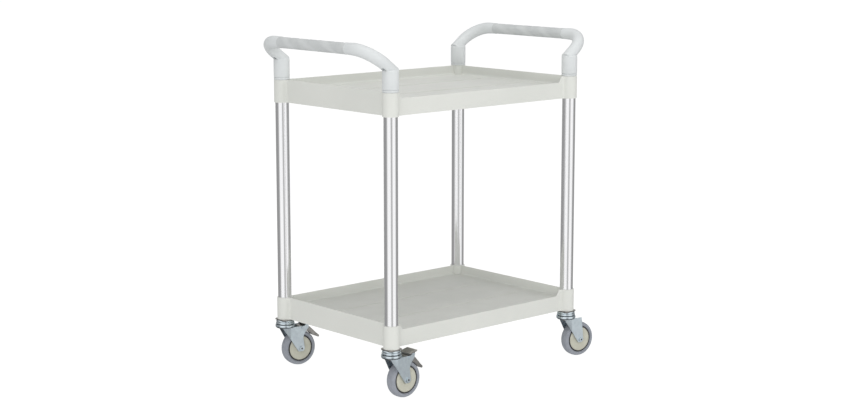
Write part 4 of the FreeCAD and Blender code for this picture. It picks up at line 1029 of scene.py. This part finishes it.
def fork_leg(name, corners, side):
    """One leg, on the side -1 or 1 of the wheel, as a sheet with a fold down its front."""
    leg = drawn_sheet(name, corners, side * LEG_SIDE)
    bpy.ops.mesh.bisect(plane_co=(FOLD_AT * MM, 0, 0), plane_no=(1, 0, 0))
    pick(leg, "VERT", lambda place, normal: place.x < FOLD_AT * MM - SAME_SPOT)
    turn(side * FOLD, "Z", Vector((FOLD_AT, side * LEG_SIDE, 0)) * MM)
    bpy.ops.mesh.select_all(action="SELECT")
    pull((0, -side * LEG_SHEET * MM, 0))
    return close_piece(leg, zinc_steel, soften=0.5 * MM, smooth=14)


def fork(name, corners):
    """A crown with a leg on each side."""
    crown = turned_upright(name, crown_shape, polished_zinc, smooth=45)
    return join_pieces(crown, fork_leg("near_leg", corners, -1), fork_leg("far_leg", corners, 1))


for name, legs, corners in (("plain_fork", PLAIN_LEG, ("front_right", "back_right")),
                            ("brake_fork", BRAKE_LEG, ("front_left", "back_left"))):
    to_corners(fork(name, legs), "fork_shell", "zinc_steel", "{}_swivel", "fork", corners=corners)

# %% [markdown]
# Two casters have a brake. Its hood is a pressed plate over the legs, folded down in front, with
# three ridges across it for the shoe, and an ear on each side that goes down to the pin. A plane
# is divided, its ridges inset and raised, its front edge pulled down, and then it gets thickness.
# It is built round its pin, and each brake turns it there to the way it stands.

# %% Brake hoods
HOOD_PIN = Vector((62, 0, 117.5))
HOOD_TILTS = {"front_left": -12, "back_left": 4}
HOOD_FRONT, HOOD_BACK, HOOD_SIDE, HOOD_TOP = -14.0, 14.5, 21.5, 6.6
HOOD_COLUMNS, RIDGE_REACH, RIDGE_INSET, RIDGE_HEIGHT = 4, 2, 2.3, 0.8
APRON_STEPS, APRON_SHARE = ((-0.4, -1.2), (0, -3.4)), 0.9
HOOD_CORNER, HOOD_SHEET, EAR_SIDE = 3, 2.2, 15.5
FACES_UP, NEAR = 0.9, 0.1
EAR_OUTLINE = [(-11.9, 5.4, 0), (11.9, 5.4, 0), (4.6, -4.2, 3.4), (-4.6, -4.2, 3.4)]


def to_pins(model, part, pin, tilts, body, hidden):
    """Copies a brake's piece to its pins, each tilted the way it stands."""
    for corner, tilt in tilts.items():
        place = Matrix.Translation(pin * MM) @ Matrix.Rotation(math.radians(tilt), 4, "Y")
        twin = placed_copy(model, f"{corner}_{part}", at_corner(corner) @ place)
        fit(twin, "pedal_steel", f"{corner}_{body}", f"{corner}_{hidden}")
    bpy.data.objects.remove(model)
    print(part, "on", list(tilts))


hood_length, hood_middle = HOOD_BACK - HOOD_FRONT, (HOOD_FRONT + HOOD_BACK) / 2
plate_centre = (hood_middle * MM, 0, HOOD_TOP * MM)
hood = open_primitive("hood", bpy.ops.mesh.primitive_plane_add, size=1, location=plate_centre)
scale((hood_length * MM, 2 * HOOD_SIDE * MM, 1), plate_centre)
bpy.ops.mesh.subdivide(number_cuts=HOOD_COLUMNS - 1)
for column in range(1, HOOD_COLUMNS):
    ridge = (HOOD_FRONT + hood_length * (column + 0.5) / HOOD_COLUMNS) * MM
    pick(hood, "FACE", lambda place, normal: abs(place.x - ridge) < RIDGE_REACH * MM
         and normal.z > FACES_UP)
    bpy.ops.mesh.inset(thickness=RIDGE_INSET * MM)
    bpy.ops.transform.translate(value=(0, 0, RIDGE_HEIGHT * MM))
pick(hood, "VERT", lambda place, normal: place.x < (HOOD_FRONT + NEAR) * MM)
for forwards, down in APRON_STEPS:
    pull((forwards * MM, 0, down * MM))
scale((1, APRON_SHARE, 1), (0, 0, 0))
pick(hood, "VERT", lambda place, normal: place.x > (HOOD_BACK - NEAR) * MM
     and abs(place.y) > (HOOD_SIDE - NEAR) * MM)
bpy.ops.mesh.bevel(offset_type="OFFSET", offset=HOOD_CORNER * MM, segments=5, affect="VERTICES")
face_outwards()
bpy.ops.object.mode_set(mode="OBJECT")
sheet = hood.modifiers.new("sheet", "SOLIDIFY")
sheet.thickness, sheet.offset = HOOD_SHEET * MM, -1
bpy.ops.object.modifier_apply(modifier=sheet.name)
bpy.ops.object.mode_set(mode="EDIT")
close_piece(hood, pedal_steel, soften=0.4 * MM)
ears = []
for side in (-1, 1):
    ear = drawn_sheet("ear", EAR_OUTLINE, side * EAR_SIDE)
    pull((0, -side * HOOD_SHEET * MM, 0))
    ears.append(close_piece(ear, pedal_steel, soften=0.3 * MM))
to_pins(join_pieces(hood, *ears), "hood_plate", HOOD_PIN, HOOD_TILTS, "brake_release", "brake_hood")

# %% [markdown]
# The arm under the hood carries the brake shoe, hollowed to the tread's curve, and ends behind the
# wheel in a tail that the foot lifts. The side view is drawn and filled, pulled to its width, and
# the tail is then narrowed towards its tip.

# %% Brake arms
ARM_PIN = Vector((47, 0, 110))
ARM_TILTS = {"front_left": 0, "back_left": -3}
ARM_SIDE, SHOE_RADIUS = 11, 50.8
WAIST, TIP = (42, 0.80), (53, 0.90)

wheel_x, wheel_z = TRAIL - ARM_PIN.x, AXLE - ARM_PIN.z
shoe = [(wheel_x + SHOE_RADIUS * math.cos(angle), wheel_z + SHOE_RADIUS * math.sin(angle), 0)
        for angle in map(math.radians, range(36, 69, 8))]
arm_outline = [(-7.0, 5.7, 4.8), (13.5, 4.9, 8), (27.1, -4.1, 10), (41.8, -20.5, 12),
               (57.4, -35.3, 2), (54.5, -40.2, 2), (39.4, -32.4, 4), *shoe, (8.2, -8.2, 4),
               (-7.0, -6.2, 4.8)]
arm = drawn_sheet("arm", arm_outline, -ARM_SIDE)
pull((0, 2 * ARM_SIDE * MM, 0))
for beyond, narrower in (WAIST, TIP):
    pick(arm, "VERT", lambda place, normal: place.x > beyond * MM)
    scale((1, narrower, 1), (0, 0, 0))
close_piece(arm, pedal_steel, soften=0.9 * MM)
to_pins(arm, "arm_lever", ARM_PIN, ARM_TILTS, "brake_lever", "brake_arm")

# %% [markdown]
# Each axle bolt's socket shows as one dark point on the leg, which is shade. A small turned plug
# in the nearly black finish is painted shade at the bottom of each socket.

# %% Painted shade in the axle sockets
socket_shade_shape = [(0.1, -22.5), (2.6, -22.5), (3.1, -22.3), (3.1, -20.5), (0.1, -20.5), (0.1, -22.5)]
# Painted shade: a nearly black plug at the bottom of each socket.
socket_shade = turned_on_axle("socket_shade", socket_shade_shape, lip_rubber, steps=24)
to_corners(socket_shade, "painted_socket_shade", "zinc_steel", "{}_swivel")
